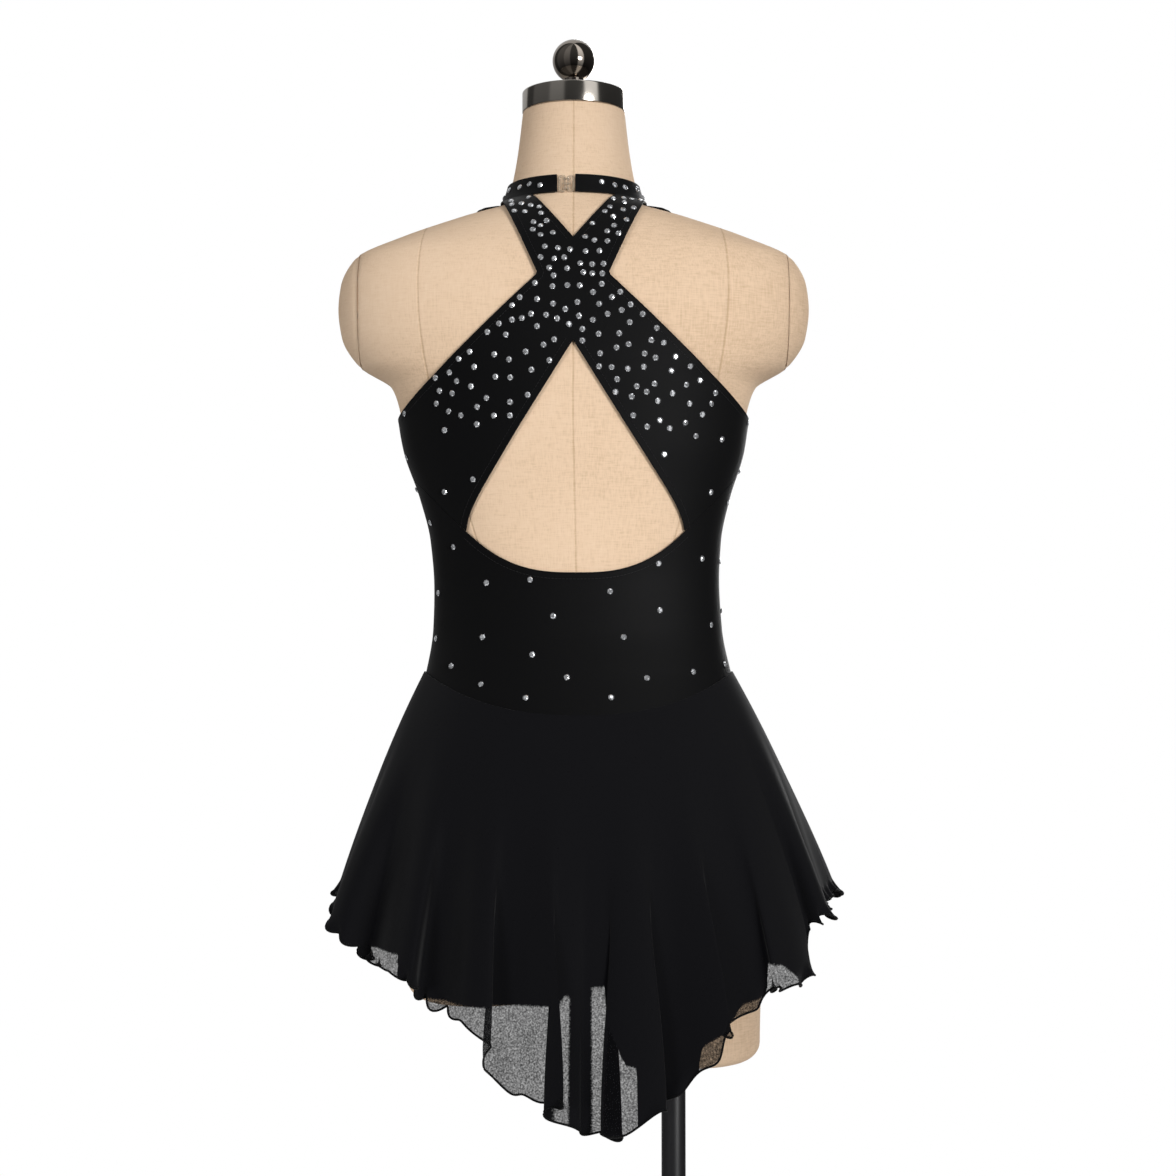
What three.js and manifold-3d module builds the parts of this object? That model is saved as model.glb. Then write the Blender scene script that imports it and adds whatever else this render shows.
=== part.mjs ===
// A black halter figure skating dress on a limbless dress form with a stand.
// Millimetres. +X is the wearer's right, +Y is out of the dress's front, +Z is up.
// The origin is on the floor, under the middle of the dress.
//
// The form is one surface, formPoint(a, z): a runs round the body from the right side (0)
// over the front (90 degrees), and z is the height. Every piece of cloth is a wall that
// follows this surface at a fixed distance, between edges given as heights or widths.
import * as THREE from "three";
import { mergeVertices } from "three/addons/utils/BufferGeometryUtils.js";
import Module from "manifold-3d";

const wasm = await Module();
wasm.setup();

// ---- driving sizes --------------------------------------------------------------------
const CLEAR = 2.4; // cloth to form
const CLOTH = 1.0; // thickness of a cloth wall
const SEAM = 0.3; // gap between neighbouring pieces
const ROUND = 34; // facets round the form
const RIGHT = 0;
const LEFT = Math.PI;

// Sections of the form: half width, depth behind and in front of the section's centre,
// how far the centre leads to the front, and the superellipse power (2 is an ellipse).
const FORM = [
  { z: 740, side: 160, back: 105, front: 92, lead: 0, power: 2.3 },
  { z: 780, side: 162, back: 113, front: 95, lead: 0, power: 2.3 },
  { z: 820, side: 161.5, back: 115, front: 98, lead: 0, power: 2.3 },
  { z: 860, side: 155, back: 110, front: 98, lead: 0, power: 2.3 },
  { z: 900, side: 144, back: 98, front: 95, lead: 0, power: 2.25 },
  { z: 940, side: 130.5, back: 84, front: 90, lead: 0, power: 2.2 },
  { z: 979, side: 123.5, back: 74, front: 86, lead: 0, power: 2.2 },
  { z: 1017, side: 122, back: 71, front: 86, lead: 0, power: 2.2 },
  { z: 1056, side: 124.5, back: 75, front: 91, lead: 0, power: 2.25 },
  { z: 1095, side: 133.5, back: 80, front: 99, lead: 0, power: 2.3 },
  { z: 1134, side: 146.5, back: 86, front: 105, lead: 0, power: 2.3 },
  { z: 1172, side: 153.5, back: 90, front: 106, lead: 0, power: 2.3 },
  { z: 1192, side: 161, back: 92, front: 104, lead: 0, power: 2.25 },
  { z: 1211, side: 190, back: 93, front: 101, lead: 0, power: 2.05 },
  { z: 1236, side: 205, back: 93, front: 95, lead: 0, power: 2.15 },
  { z: 1260, side: 208, back: 91, front: 87, lead: 0, power: 2.3 },
  { z: 1280, side: 206, back: 88, front: 80, lead: 0, power: 2.4 },
  { z: 1304, side: 194, back: 82, front: 72, lead: 1, power: 2.4 },
  { z: 1322, side: 157, back: 75, front: 66, lead: 3, power: 2.3 },
  { z: 1341, side: 104, back: 66, front: 59, lead: 6, power: 2.15 },
  { z: 1354, side: 63, back: 59, front: 55, lead: 8, power: 2.0 },
  { z: 1371, side: 56, back: 54, front: 51, lead: 10, power: 2.0 },
  { z: 1404, side: 50, back: 48, front: 47, lead: 14, power: 2.0 },
  { z: 1442, side: 45.7, back: 45, front: 45, lead: 18, power: 2.0 },
];
const FORM_TOP = 1442;
const CROTCH = 706; // lowest point of the body between the thighs
const BOWL = 740; // below this height the body rounds in to the crotch
const SWAY_TOP = 1150; // below this height the form leans a little to its right
const SWAY = 0.021;
const BUST = { z: 1174, rise: 24, wide: 108, high: 56 };
const CAP_PLANE = 187; // the shoulder caps start here

// The thigh stubs: centre, half width and depth; the left one is the shorter.
const THIGH = [
  { z: 600, x: 92, side: 58, depth: 80 },
  { z: 650, x: 91, side: 61, depth: 84 },
  { z: 700, x: 90, side: 67, depth: 87 },
  { z: 735, x: 87, side: 71, depth: 84 },
  { z: 775, x: 82, side: 66, depth: 66 },
];
const THIGH_END = { right: 607, left: 659 };
const THIGH_EDGE = 14; // rounding of a stub's end
const THIGH_BACK = 6; // the thighs' centre lies this far behind the body's

// Edges of the dress, as heights.
const NECK_BAND = { bottom: 1354.5, top: 1371.5, gapCentre: -6, gap: 15 };
const UNDERARM = 1162;
const HIP_SEAM = { side: 940, back: 902, front: 925 };
const SCOOP = { middle: 1025, side: 1112, power: 2.9, gap: 0.8 }; // upper edge of the lower back
const FRONT_SHOULDER = 84; // half width of the halter on the shoulder

// The crossed back: half widths of its outer and inner edges at each height.
const CROSS = { top: 1352, upperNotch: 1309, sideNotch: 1277, lowerNotch: 1220 };
const CROSS_OUTER = [
  { z: UNDERARM, x: 152 },
  { z: CROSS.sideNotch, x: 30 },
  { z: CROSS.top, x: 63 },
];
const CROSS_INNER = [
  { z: 1045, x: 93 },
  { z: 1060, x: 94 },
  { z: 1077, x: 93.5 },
  { z: 1095, x: 79 },
  { z: CROSS.lowerNotch, x: 0 },
];
const CROSS_UPPER_INNER = 34;

// The skirt: how fast it flares, and where its hem lies.
const FLARE = { side: 0.56, left: 0.5, back: 0.42, front: 0.4, bend: 0.0005 };
const HEM = { side: 747, front: 685 };
// The hem's height across the back, by the angle in degrees from the wearer's left side.
const HEM_BACK = [
  { at: 180, high: 747 },
  { at: 197, high: 744 },
  { at: 201, high: 732 },
  { at: 208, high: 714 },
  { at: 215, high: 700 },
  { at: 222, high: 697 },
  { at: 229, high: 687 },
  { at: 236, high: 670 },
  { at: 243, high: 661 },
  { at: 250, high: 634 },
  { at: 257, high: 602 },
  { at: 263, high: 599 },
  { at: 267, high: 588 },
  { at: 270, high: 575 },
  { at: 277, high: 571 },
  { at: 281, high: 575 },
  { at: 284, high: 592 },
  { at: 291, high: 595 },
  { at: 296, high: 622 },
  { at: 300, high: 650 },
  { at: 306, high: 654 },
  { at: 310, high: 666 },
  { at: 314, high: 682 },
  { at: 322, high: 684 },
  { at: 327, high: 690 },
  { at: 331, high: 725 },
  { at: 340, high: 736 },
  { at: 360, high: 747 },
];
const RIPPLES = 42; // waves of the lettuce hem on each panel
const RIPPLE = { rise: 4, high: 11 };
const DROP_ROWS = 4;
// Flutes of the skirt, by their angle round the body: half angle and how far each stands out.
const FLUTES = [
  { at: 8, half: 15, rise: 14 },
  { at: 33, half: 12, rise: 16 },
  { at: 58, half: 12, rise: 18 },
  { at: 84, half: 13, rise: 17 },
  { at: 110, half: 12, rise: 18 },
  { at: 137, half: 13, rise: 16 },
  { at: 172, half: 15, rise: 10 },
  { at: 203, half: 11, rise: 22 },
  { at: 226, half: 11, rise: 22 },
  { at: 246, half: 9, rise: 20 },
  { at: 264, half: 8, rise: 20 },
  { at: 282, half: 8, rise: 20 },
  { at: 300, half: 9, rise: 20 },
  { at: 320, half: 11, rise: 22 },
  { at: 339, half: 9, rise: 22 },
];
const FLUTE_MEAN = 8;

// The brief's leg line: half width of the gusset, and the line's lowest and highest point.
const LEG = { gusset: 12, low: 740, high: 816, power: 1.2 };

const POLE = { x: 87, y: -5, radius: 10.5, into: 60 };
const SOCKET = { radius: 19, high: 20 };
const BASE = { radius: 200, thick: 7, hubRadius: 24, hubHigh: 34 };
const NECK_CAP = { low: 1442.3, top: 1461, over: 0.6, bevel: 3 };
const KNOB = { radius: 19.2, z: 1490, foot: 9.3 };

// ---- plain helpers --------------------------------------------------------------------
const mix = (low, high, t) => low + (high - low) * t;
const clamp01 = (t) => Math.min(1, Math.max(0, t));
const smooth = (t) => clamp01(t) ** 2 * (3 - 2 * clamp01(t));
const power = (value, p) => Math.sign(value) * Math.abs(value) ** p;
const steps = (count) => Array.from({ length: count + 1 }, (_, i) => i / count);
// Steps that lie closer together at the two ends and in the middle, where the body turns fastest.
const turnSteps = (count) => steps(count).map((t) => t - 0.03 * Math.sin(4 * Math.PI * t));

// A column of a table as a smooth function of z that never overshoots (monotone cubic).
function column(table, key, by = "z") {
  const zs = table.map((row) => row[by]);
  const vs = table.map((row) => row[key]);
  const slopes = vs.slice(1).map((v, i) => (v - vs[i]) / (zs[i + 1] - zs[i]));
  const tangents = vs.map((_, i) => {
    const before = slopes[i - 1];
    const after = slopes[i];
    if (before === undefined || after === undefined) return before ?? after;
    return before * after <= 0 ? 0 : (2 * before * after) / (before + after);
  });
  return (z) => {
    const at = Math.min(zs[zs.length - 1], Math.max(zs[0], z));
    let i = 0;
    while (i < zs.length - 2 && at > zs[i + 1]) i += 1;
    const step = zs[i + 1] - zs[i];
    const t = (at - zs[i]) / step;
    const ease = t * t * (3 - 2 * t);
    const bulge = t * (1 - t) * step * ((1 - t) * tangents[i] - t * tangents[i + 1]);
    return mix(vs[i], vs[i + 1], ease) + bulge;
  };
}

const form = Object.fromEntries(
  ["side", "back", "front", "lead", "power"].map((key) => [key, column(FORM, key)]),
);
const thigh = Object.fromEntries(["x", "side", "depth"].map((key) => [key, column(THIGH, key)]));
const sway = (z) => SWAY * Math.max(0, SWAY_TOP - z);

// A column of a table as straight runs between its rows.
function straight(table, key) {
  return (z) => {
    const last = table.length - 1;
    const i = Math.max(0, Math.min(last - 1, table.findIndex((row) => row.z > z) - 1));
    const low = z >= table[last].z ? table[last] : table[i];
    const high = z >= table[last].z ? table[last] : table[i + 1];
    if (low === high) return low[key];
    return mix(low[key], high[key], clamp01((z - low.z) / (high.z - low.z)));
  };
}
const crossOuter = straight(CROSS_OUTER, "x");
const crossInner = straight(CROSS_INNER, "x");

// ---- the form's surface ---------------------------------------------------------------
// How far the body is still open below BOWL: 1 above it, 0 at the crotch.
const bowlAt = (z) => Math.sqrt(1 - clamp01((BOWL - z) / (BOWL - CROTCH)) ** 2);
const halfWidth = (z) => form.side(z) * mix(0.55, 1, bowlAt(z));

// A superellipse at each height, with one soft rise for the bust; below BOWL it rounds in.
function formPoint(a, z) {
  const bowl = bowlAt(z);
  const bend = 2 / form.power(z);
  const x = halfWidth(z) * power(Math.cos(a), bend);
  const depth = Math.sin(a) > 0 ? form.front(z) : form.back(z);
  const away = (x / BUST.wide) ** 4 + ((z - BUST.z) / BUST.high) ** 2;
  const bust = BUST.rise * Math.exp(-away) * clamp01(Math.sin(a) * 2);
  const y = form.lead(z) + depth * bowl * power(Math.sin(a), bend) + bust;
  return new THREE.Vector3(x + sway(z), y, z);
}

// The outward direction of the surface, from points a little to each side.
function formNormal(a, z) {
  const round = formPoint(a + 0.01, z).sub(formPoint(a - 0.01, z));
  const up = formPoint(a, Math.min(FORM_TOP, z + 2)).sub(formPoint(a, Math.max(CROTCH + 0.2, z - 2)));
  return round.cross(up).normalize();
}
const onForm = (a, z, out) => formPoint(a, z).addScaledVector(formNormal(a, z), out);

// The angle at which the surface is x from the middle at height z; 0 is the widest point.
function angleAt(x, z) {
  const part = clamp01(Math.abs(x) / halfWidth(z));
  return Math.acos(part ** (form.power(z) / 2));
}

// ---- meshes ---------------------------------------------------------------------------
function toGeometry(points, faces) {
  const geometry = new THREE.BufferGeometry();
  const flat = points.flatMap((p) => [p.x, p.y, p.z]);
  geometry.setAttribute("position", new THREE.Float32BufferAttribute(flat, 3));
  geometry.setIndex(faces.flat());
  return mergeVertices(geometry, 1e-4);
}

// A closed solid through rings of points, given from the bottom up, with flat ends.
function loft(rings) {
  const count = rings[0].length;
  const points = rings.flat();
  const faces = [];
  for (let r = 0; r < rings.length - 1; r += 1) {
    for (let i = 0; i < count; i += 1) {
      const j = (i + 1) % count;
      const [a, b, c, d] = [r * count + i, r * count + j, (r + 1) * count + j, (r + 1) * count + i];
      faces.push([a, b, c], [a, c, d]);
    }
  }
  for (const [ring, turn] of [[0, 1], [rings.length - 1, 0]]) {
    const middle = new THREE.Vector3();
    rings[ring].forEach((p) => middle.addScaledVector(p, 1 / count));
    points.push(middle);
    for (let i = 0; i < count; i += 1) {
      const edge = [ring * count + i, ring * count + ((i + 1) % count)];
      faces.push(turn ? [edge[1], edge[0], points.length - 1] : [...edge, points.length - 1]);
    }
  }
  return toGeometry(points, faces);
}

// A sheet is a grid of rows of equal length; row r + 1 is above row r.
function gridFaces(rows, columns, first = 0) {
  const faces = [];
  for (let r = 0; r < rows - 1; r += 1) {
    for (let i = 0; i < columns - 1; i += 1) {
      const a = first + r * columns + i;
      faces.push([a, a + 1, a + 1 + columns], [a, a + 1 + columns, a + columns]);
    }
  }
  return faces;
}

// A closed wall from a sheet's inner and outer points and the faces of its outer side.
function wall(inner, outer, faces) {
  const count = outer.length;
  const all = faces.map((face) => [...face]);
  faces.forEach(([a, b, c]) => all.push([a + count, c + count, b + count]));
  const used = new Set(faces.flatMap(([a, b, c]) => [`${a},${b}`, `${b},${c}`, `${c},${a}`]));
  for (const edge of used) {
    const [a, b] = edge.split(",").map(Number);
    if (used.has(`${b},${a}`)) continue;
    all.push([b, a, a + count], [b, a + count, b + count]);
  }
  return toGeometry([...outer, ...inner], all);
}

// A wall of cloth on the form: rows of [angle, height], and how far out its inside lies.
function clothOnForm(rows, out = CLEAR) {
  const places = rows.flat();
  const inner = places.map(([a, z]) => onForm(a, z, out));
  const outer = places.map(([a, z]) => onForm(a, z, out + CLOTH));
  return wall(inner, outer, gridFaces(rows.length, rows[0].length));
}

function solidOf(geometry) {
  const merged = geometry.clone();
  merged.deleteAttribute("normal");
  merged.deleteAttribute("uv");
  const plain = mergeVertices(merged, 1e-4);
  const vertProperties = new Float32Array(plain.attributes.position.array);
  const triVerts = new Uint32Array(plain.index.array);
  return new wasm.Manifold(new wasm.Mesh({ numProp: 3, vertProperties, triVerts }));
}

function geometryOf(solid) {
  const { vertProperties, triVerts } = solid.getMesh();
  const geometry = new THREE.BufferGeometry();
  geometry.setAttribute("position", new THREE.BufferAttribute(vertProperties, 3));
  geometry.setIndex(new THREE.BufferAttribute(triVerts, 1));
  return geometry;
}

function block(low, high) {
  const size = high.map((value, i) => value - low[i]);
  const middle = high.map((value, i) => (value + low[i]) / 2);
  return new THREE.BoxGeometry(...size).translate(...middle);
}

// A turned solid about the vertical line through (x, y), from a profile of [radius, z].
function turned(profile, x, y, sides = 32) {
  const points = profile.map(([radius, z]) => new THREE.Vector2(radius, z));
  return new THREE.LatheGeometry(points, sides).rotateX(Math.PI / 2).translate(x, y, 0);
}

// ---- the dress form -------------------------------------------------------------------
const ringAt = (z) =>
  steps(ROUND).slice(0, -1).map((t) => formPoint(t * 2 * Math.PI, z));

// Heights in the rounded bowl from the crotch up, evenly spaced along its curve.
const bowlHeights = (count, first) =>
  steps(count).map((t) => BOWL - (BOWL - CROTCH) * Math.cos(mix(first, Math.PI / 2, t)));

// Each row of the table, and above the underarm one more height between two rows.
function bodyHeights() {
  const between = FORM.slice(1).map((row, i) => (row.z + FORM[i].z) / 2);
  const rows = [...FORM.map((row) => row.z), ...between.filter((z) => z > UNDERARM)];
  return rows.sort((p, q) => p - q).slice(1);
}

function bodySolid() {
  const heights = [...bowlHeights(5, 0.12), ...bodyHeights()];
  return solidOf(loft(heights.map(ringAt)));
}

// A thigh stub: ellipses down to a rounded end.
function thighSolid(sideSign, end) {
  const ring = (z, inset) => {
    const [side, depth] = [thigh.side(z) - inset, thigh.depth(z) - inset];
    return steps(24).slice(0, -1).map((t) => {
      const [c, s] = [Math.cos(t * 2 * Math.PI), Math.sin(t * 2 * Math.PI)];
      const x = sideSign * thigh.x(z) + side * c + sway(z);
      return new THREE.Vector3(x, depth * s - THIGH_BACK, z);
    });
  };
  const edge = steps(3).map((t) => {
    const turn = (t * Math.PI) / 2;
    const inset = THIGH_EDGE * (1 - Math.sin(turn));
    return ring(end + THIGH_EDGE * (1 - Math.cos(turn)), inset);
  });
  const top = THIGH[THIGH.length - 1].z;
  const shank = steps(4).slice(1).map((t) => ring(mix(end + THIGH_EDGE, top, t), 0));
  return solidOf(loft([...edge, ...shank]));
}

function poleBore() {
  const top = THIGH_END.right + POLE.into + SEAM;
  const radius = POLE.radius + SEAM;
  return solidOf(turned([[0, 560], [radius, 560], [radius, top], [0, top]], POLE.x, POLE.y, 24));
}

function formPieces() {
  const body = bodySolid();
  const slab = (low, high) => solidOf(block([low, -300, 500], [high, 300, 1500]));
  const torso = body
    .intersect(slab(-CAP_PLANE, CAP_PLANE))
    .add(thighSolid(1, THIGH_END.right))
    .add(thighSolid(-1, THIGH_END.left))
    .subtract(poleBore());
  return {
    form_torso: geometryOf(torso),
    shoulder_cap_right: geometryOf(body.intersect(slab(CAP_PLANE + SEAM, 300))),
    shoulder_cap_left: geometryOf(body.intersect(slab(-300, -CAP_PLANE - SEAM))),
  };
}

// The metal cap on the neck: the neck's own outline, with a bevelled top.
function neckCap() {
  const ring = (z, inset) =>
    steps(28).slice(0, -1).map((t) => {
      const [c, s] = [Math.cos(t * 2 * Math.PI), Math.sin(t * 2 * Math.PI)];
      const side = form.side(FORM_TOP) + NECK_CAP.over - inset;
      const depth = form.front(FORM_TOP) + NECK_CAP.over - inset;
      return new THREE.Vector3(side * c, form.lead(FORM_TOP) + depth * s, z);
    });
  const { low, top, bevel } = NECK_CAP;
  return loft([ring(low, 0), ring(top - bevel, 0), ring(top - bevel / 4, bevel / 4), ring(top, bevel)]);
}

// The ball on its foot, which stands on the cap.
function neckKnob() {
  const low = NECK_CAP.top + SEAM;
  const first = Math.asin(KNOB.foot / KNOB.radius);
  const arc = steps(9).map((t) => {
    const turn = mix(first, Math.PI, t);
    return [Math.max(0, KNOB.radius * Math.sin(turn)), KNOB.z - KNOB.radius * Math.cos(turn)];
  });
  return turned([[0, low], [KNOB.foot, low], ...arc], 0, form.lead(FORM_TOP), 20);
}

// ---- the stand ------------------------------------------------------------------------
function poleRod() {
  const [low, top] = [BASE.thick + SEAM, THIGH_END.right + POLE.into];
  const profile = [[0, low], [POLE.radius, low], [POLE.radius, top - 2], [POLE.radius - 2, top], [0, top]];
  return turned(profile, POLE.x, POLE.y, 20);
}

function poleSocket() {
  const [inside, outside] = [POLE.radius + SEAM, SOCKET.radius];
  const top = THIGH_END.right - SEAM;
  const low = top - SOCKET.high;
  const profile = [[inside, low], [outside - 4, low], [outside, low + 4], [outside, top], [inside, top]];
  return turned([...profile, profile[0]], POLE.x, POLE.y, 20);
}

// A plain round plate whose hub takes the pole's foot.
function basePlate() {
  const { radius, thick, hubRadius, hubHigh } = BASE;
  const bore = POLE.radius + SEAM;
  const profile = [
    [0, 0], [radius - 2, 0], [radius, 2], [radius, thick - 2], [radius - 4, thick],
    [hubRadius + 8, thick], [hubRadius, thick + 8], [hubRadius, hubHigh - 4],
    [hubRadius - 4, hubHigh], [bore, hubHigh], [bore, thick], [0, thick],
  ];
  return turned(profile, POLE.x, POLE.y, 32);
}

// ---- the dress: edges -----------------------------------------------------------------
const SIDE_GAP = 0.0008; // angle that keeps two panels SEAM apart at a side seam
const BACK = (3 * Math.PI) / 2;

// The hip seam dips at the centre back and less at the front.
function hipSeam(a) {
  const middle = Math.sin(a) < 0 ? HIP_SEAM.back : HIP_SEAM.front;
  return mix(middle, HIP_SEAM.side, Math.cos(a) ** 2);
}

// The upper edge of the lower back: flat in the middle, rising to the side seams.
const scoop = (a) => mix(SCOOP.middle, SCOOP.side, Math.abs(Math.cos(a)) ** (SCOOP.power * 0.88));

// Half width of the halter front above the underarm: a hollow curve up to the shoulder.
function frontHalfWidth(z) {
  if (z <= UNDERARM) return halfWidth(z);
  const t = clamp01((z - UNDERARM) / (NECK_BAND.bottom - UNDERARM));
  return mix(FRONT_SHOULDER, halfWidth(UNDERARM), (1 - t) ** 2.6);
}

// The halter's shoulder ends wrap a little to the back beside the neck.
const SHOULDER = { low: 1313, wrapFrom: 1334, top: NECK_BAND.bottom - SEAM, wrap: 0.3 };
function shoulderWrap(z) {
  const t = clamp01((z - SHOULDER.wrapFrom) / (SHOULDER.top - SHOULDER.wrapFrom));
  return SHOULDER.wrap * Math.sin(Math.PI * t);
}

// ---- the dress: pieces ----------------------------------------------------------------
function frontBodice() {
  const low = HIP_SEAM.side + 22;
  const trunk = steps(6).map((t) => mix(low, UNDERARM, t));
  const halter = steps(10).slice(1, -1).map((t) => mix(UNDERARM, SHOULDER.low, t * t));
  const shoulder = steps(6).map((t) => mix(SHOULDER.low, SHOULDER.top, t));
  const heights = [...trunk, ...halter, ...shoulder];
  const row = (z, blend) => {
    const edge = Math.max(SIDE_GAP, angleAt(frontHalfWidth(z), z)) - shoulderWrap(z);
    return steps(18).map((t) => {
      const a = mix(RIGHT + edge, LEFT - edge, t);
      return [a, mix(hipSeam(a), z, blend)];
    });
  };
  const skirtSide = [0, 0.5].map((blend) => row(low, blend));
  return clothOnForm([...skirtSide, ...heights.map((z) => row(z, 1))]);
}

function backLower() {
  const columns = steps(20).map((t) => mix(LEFT + SIDE_GAP, 2 * Math.PI - SIDE_GAP, t));
  const rows = steps(5).map((v) => columns.map((a) => [a, mix(hipSeam(a), scoop(a) - SCOOP.gap, v)]));
  return clothOnForm(rows);
}

// The X of the back: each side runs from the scoop up to the crossing and on to the band.
// A row goes from the outer to the inner edge; the two sides share the middle line.
function backCross() {
  const outerAngle = (z) => Math.max(SIDE_GAP, z <= UNDERARM ? 0 : angleAt(crossOuter(z), z));
  const innerAt = (z) => {
    if (z >= CROSS.upperNotch) {
      return (CROSS_UPPER_INNER * (z - CROSS.upperNotch)) / (CROSS.top - CROSS.upperNotch);
    }
    return z >= CROSS.lowerNotch ? 0 : crossInner(z);
  };
  const place = (z, t) => mix(outerAngle(z), angleAt(innerAt(z), z), t);
  // The bottom row lies on the scoop: its height and angle are found together.
  const bottom = (t) => {
    let z = SCOOP.side;
    for (let turn = 0; turn < 30; turn += 1) z = mix(z, scoop(place(z, t)) + SCOOP.gap, 0.6);
    return z;
  };
  const across = steps(7);
  const lower = steps(4).slice(0, -1).map((v) =>
    across.map((t) => {
      const z = mix(bottom(t), UNDERARM, v);
      return [place(z, t), z];
    }),
  );
  const arm = steps(10).slice(0, -1).map((t) => mix(UNDERARM, CROSS.lowerNotch, t * t));
  const crossing = steps(5).slice(0, -1).map((t) => mix(CROSS.lowerNotch, CROSS.upperNotch, t));
  const straps = steps(8).map((t) => mix(CROSS.upperNotch, SHOULDER.top, t));
  const upper = [...arm, ...crossing, ...straps].map((z) => across.map((t) => [place(z, t), z]));
  const half = [...lower, ...upper];
  const left = half.map((row) => row.map(([a, z]) => [LEFT + a, z]));
  const right = half.map((row) => row.map(([a, z]) => [2 * Math.PI - a, z]).reverse());
  const points = [...left.flat(), ...right.flat()];
  const columns = across.length;
  const faces = [
    ...gridFaces(half.length, columns),
    ...gridFaces(half.length, columns, left.flat().length),
  ];
  return sharedWall(points, faces);
}

// A wall from angle and height places, some of which coincide.
function sharedWall(places, faces) {
  const index = new Map();
  const own = places.map(([a, z]) => {
    const key = `${a.toFixed(6)},${z.toFixed(4)}`;
    if (!index.has(key)) index.set(key, { at: index.size, a, z });
    return index.get(key).at;
  });
  const list = [...index.values()];
  const inner = list.map(({ a, z }) => onForm(a, z, CLEAR));
  const outer = list.map(({ a, z }) => onForm(a, z, CLEAR + CLOTH));
  return wall(inner, outer, faces.map((face) => face.map((i) => own[i])));
}

function neckBand() {
  const { bottom, top, gapCentre, gap } = NECK_BAND;
  const toAngle = (x, z) => BACK + Math.asin(x / halfWidth(z));
  const rows = steps(1).map((v) => {
    const z = mix(bottom, top, v);
    const first = toAngle(gapCentre + gap / 2, z) - 2 * Math.PI;
    const last = toAngle(gapCentre - gap / 2, z);
    return steps(30).map((t) => [mix(first, last, t), z]);
  });
  return clothOnForm(rows);
}

// The two halves of the plastic clasp, laid on the slope of the neck between the band's ends.
function claspHalf(sideSign) {
  const { bottom, top, gapCentre, gap } = NECK_BAND;
  const width = gap / 2 - 1.5 * SEAM;
  const middle = (bottom + top) / 2;
  const plate = new THREE.BoxGeometry(width, 2.2, top - bottom - 2);
  const normal = formNormal(BACK, middle);
  plate.rotateX(Math.asin(-normal.z / normal.length()));
  const seat = onForm(BACK, middle, CLEAR + 1.6);
  return plate.translate(gapCentre + sideSign * (width / 2 + SEAM / 2), seat.y, seat.z);
}

// ---- the skirt and the brief ----------------------------------------------------------
// Height of the skirt's hem: high at the sides, lowest a little right of the centre back.
const backHem = column(HEM_BACK, "high", "at");
function hemHeight(a) {
  if (Math.sin(a) >= 0) return mix(HEM.front, HEM.side, Math.cos(a) ** 2);
  return backHem(((a * 180) / Math.PI + 360) % 360);
}

// How far the flutes stand out at the hem, at this angle.
function flutes(a) {
  const degrees = (a * 180) / Math.PI;
  const near = ({ at, half, rise }) => {
    const off = Math.abs(((degrees - at + 540) % 360) - 180) / half;
    return off < 1 ? rise * Math.cos((off * Math.PI) / 2) ** 2 : 0;
  };
  return FLUTES.reduce((sum, flute) => sum + near(flute), -FLUTE_MEAN);
}

// A point of the skirt: `fall` runs from 0 at the seam to 1 at the hem. It goes down by the
// fall and out by the flare, the flutes and, near the hem, the ripple.
function skirtPoint(a, fall, ripple, out) {
  const top = hipSeam(a) - SEAM;
  const start = onForm(a, top, CLEAR + CLOTH + 4 * SEAM + out);
  const drop = fall * (top - hemHeight(a));
  const sideways = Math.cos(a) ** 2;
  const atSide = Math.cos(a) < 0 ? FLARE.left : FLARE.side;
  const rate = mix(Math.sin(a) < 0 ? FLARE.back : FLARE.front, atSide, sideways);
  const flare = rate * drop - FLARE.bend * drop * drop;
  const away = formNormal(a, top).setZ(0).normalize();
  start.addScaledVector(away, flare + flutes(a) * smooth(fall * 1.1) * fall + ripple);
  return start.setZ(top - drop);
}

// One panel between two side seams: coarse rows down to the ripples, then a fine hem row.
// Every coarse column carries one ripple: four fine columns at 0, out, 0 and in.
function skirtPanel(first, last) {
  const points = [];
  const faces = [];
  const band = (a) => RIPPLE.high / (hipSeam(a) - hemHeight(a));
  const coarse = steps(RIPPLES).map((t) => mix(first, last, t));
  const fine = steps(RIPPLES * 4).map((t) => mix(first, last, t));
  const upper = steps(DROP_ROWS).reverse();
  for (const share of upper) {
    for (const a of coarse) points.push(skirtPoint(a, share * (1 - 2 * band(a)), 0, CLOTH / 2));
  }
  faces.push(...gridFaces(upper.length, coarse.length));
  const rippled = [0.45, 1].map((size) => {
    const start = points.length;
    fine.forEach((a, i) => {
      const wave = i > 0 && i < fine.length - 1 ? [0, 1, 0, -1][i % 4] * RIPPLE.rise * size : 0;
      points.push(skirtPoint(a, size === 1 ? 1 : 1 - band(a), wave, CLOTH / 2));
    });
    return start;
  });
  const [middle, hem] = rippled;
  for (let i = 0; i < fine.length - 1; i += 1) {
    faces.push([hem + i, hem + i + 1, middle + i + 1], [hem + i, middle + i + 1, middle + i]);
  }
  for (let i = 0; i < RIPPLES; i += 1) {
    const [left, right, low] = [i, i + 1, middle + i * 4];
    faces.push([low, low + 1, left], [low + 1, low + 2, left], [low + 2, right, left]);
    faces.push([low + 2, low + 3, right], [low + 3, low + 4, right]);
  }
  return thickened(points, faces, CLOTH);
}

// A wall whose middle is the given sheet.
function thickened(points, faces, thickness) {
  const normals = points.map(() => new THREE.Vector3());
  for (const [a, b, c] of faces) {
    const edge = points[b].clone().sub(points[a]);
    const turn = edge.cross(points[c].clone().sub(points[a]));
    [a, b, c].forEach((i) => normals[i].add(turn));
  }
  normals.forEach((normal) => normal.normalize());
  const shifted = (by) => points.map((p, i) => p.clone().addScaledVector(normals[i], by));
  return wall(shifted(-thickness / 2), shifted(thickness / 2), faces);
}

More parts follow.
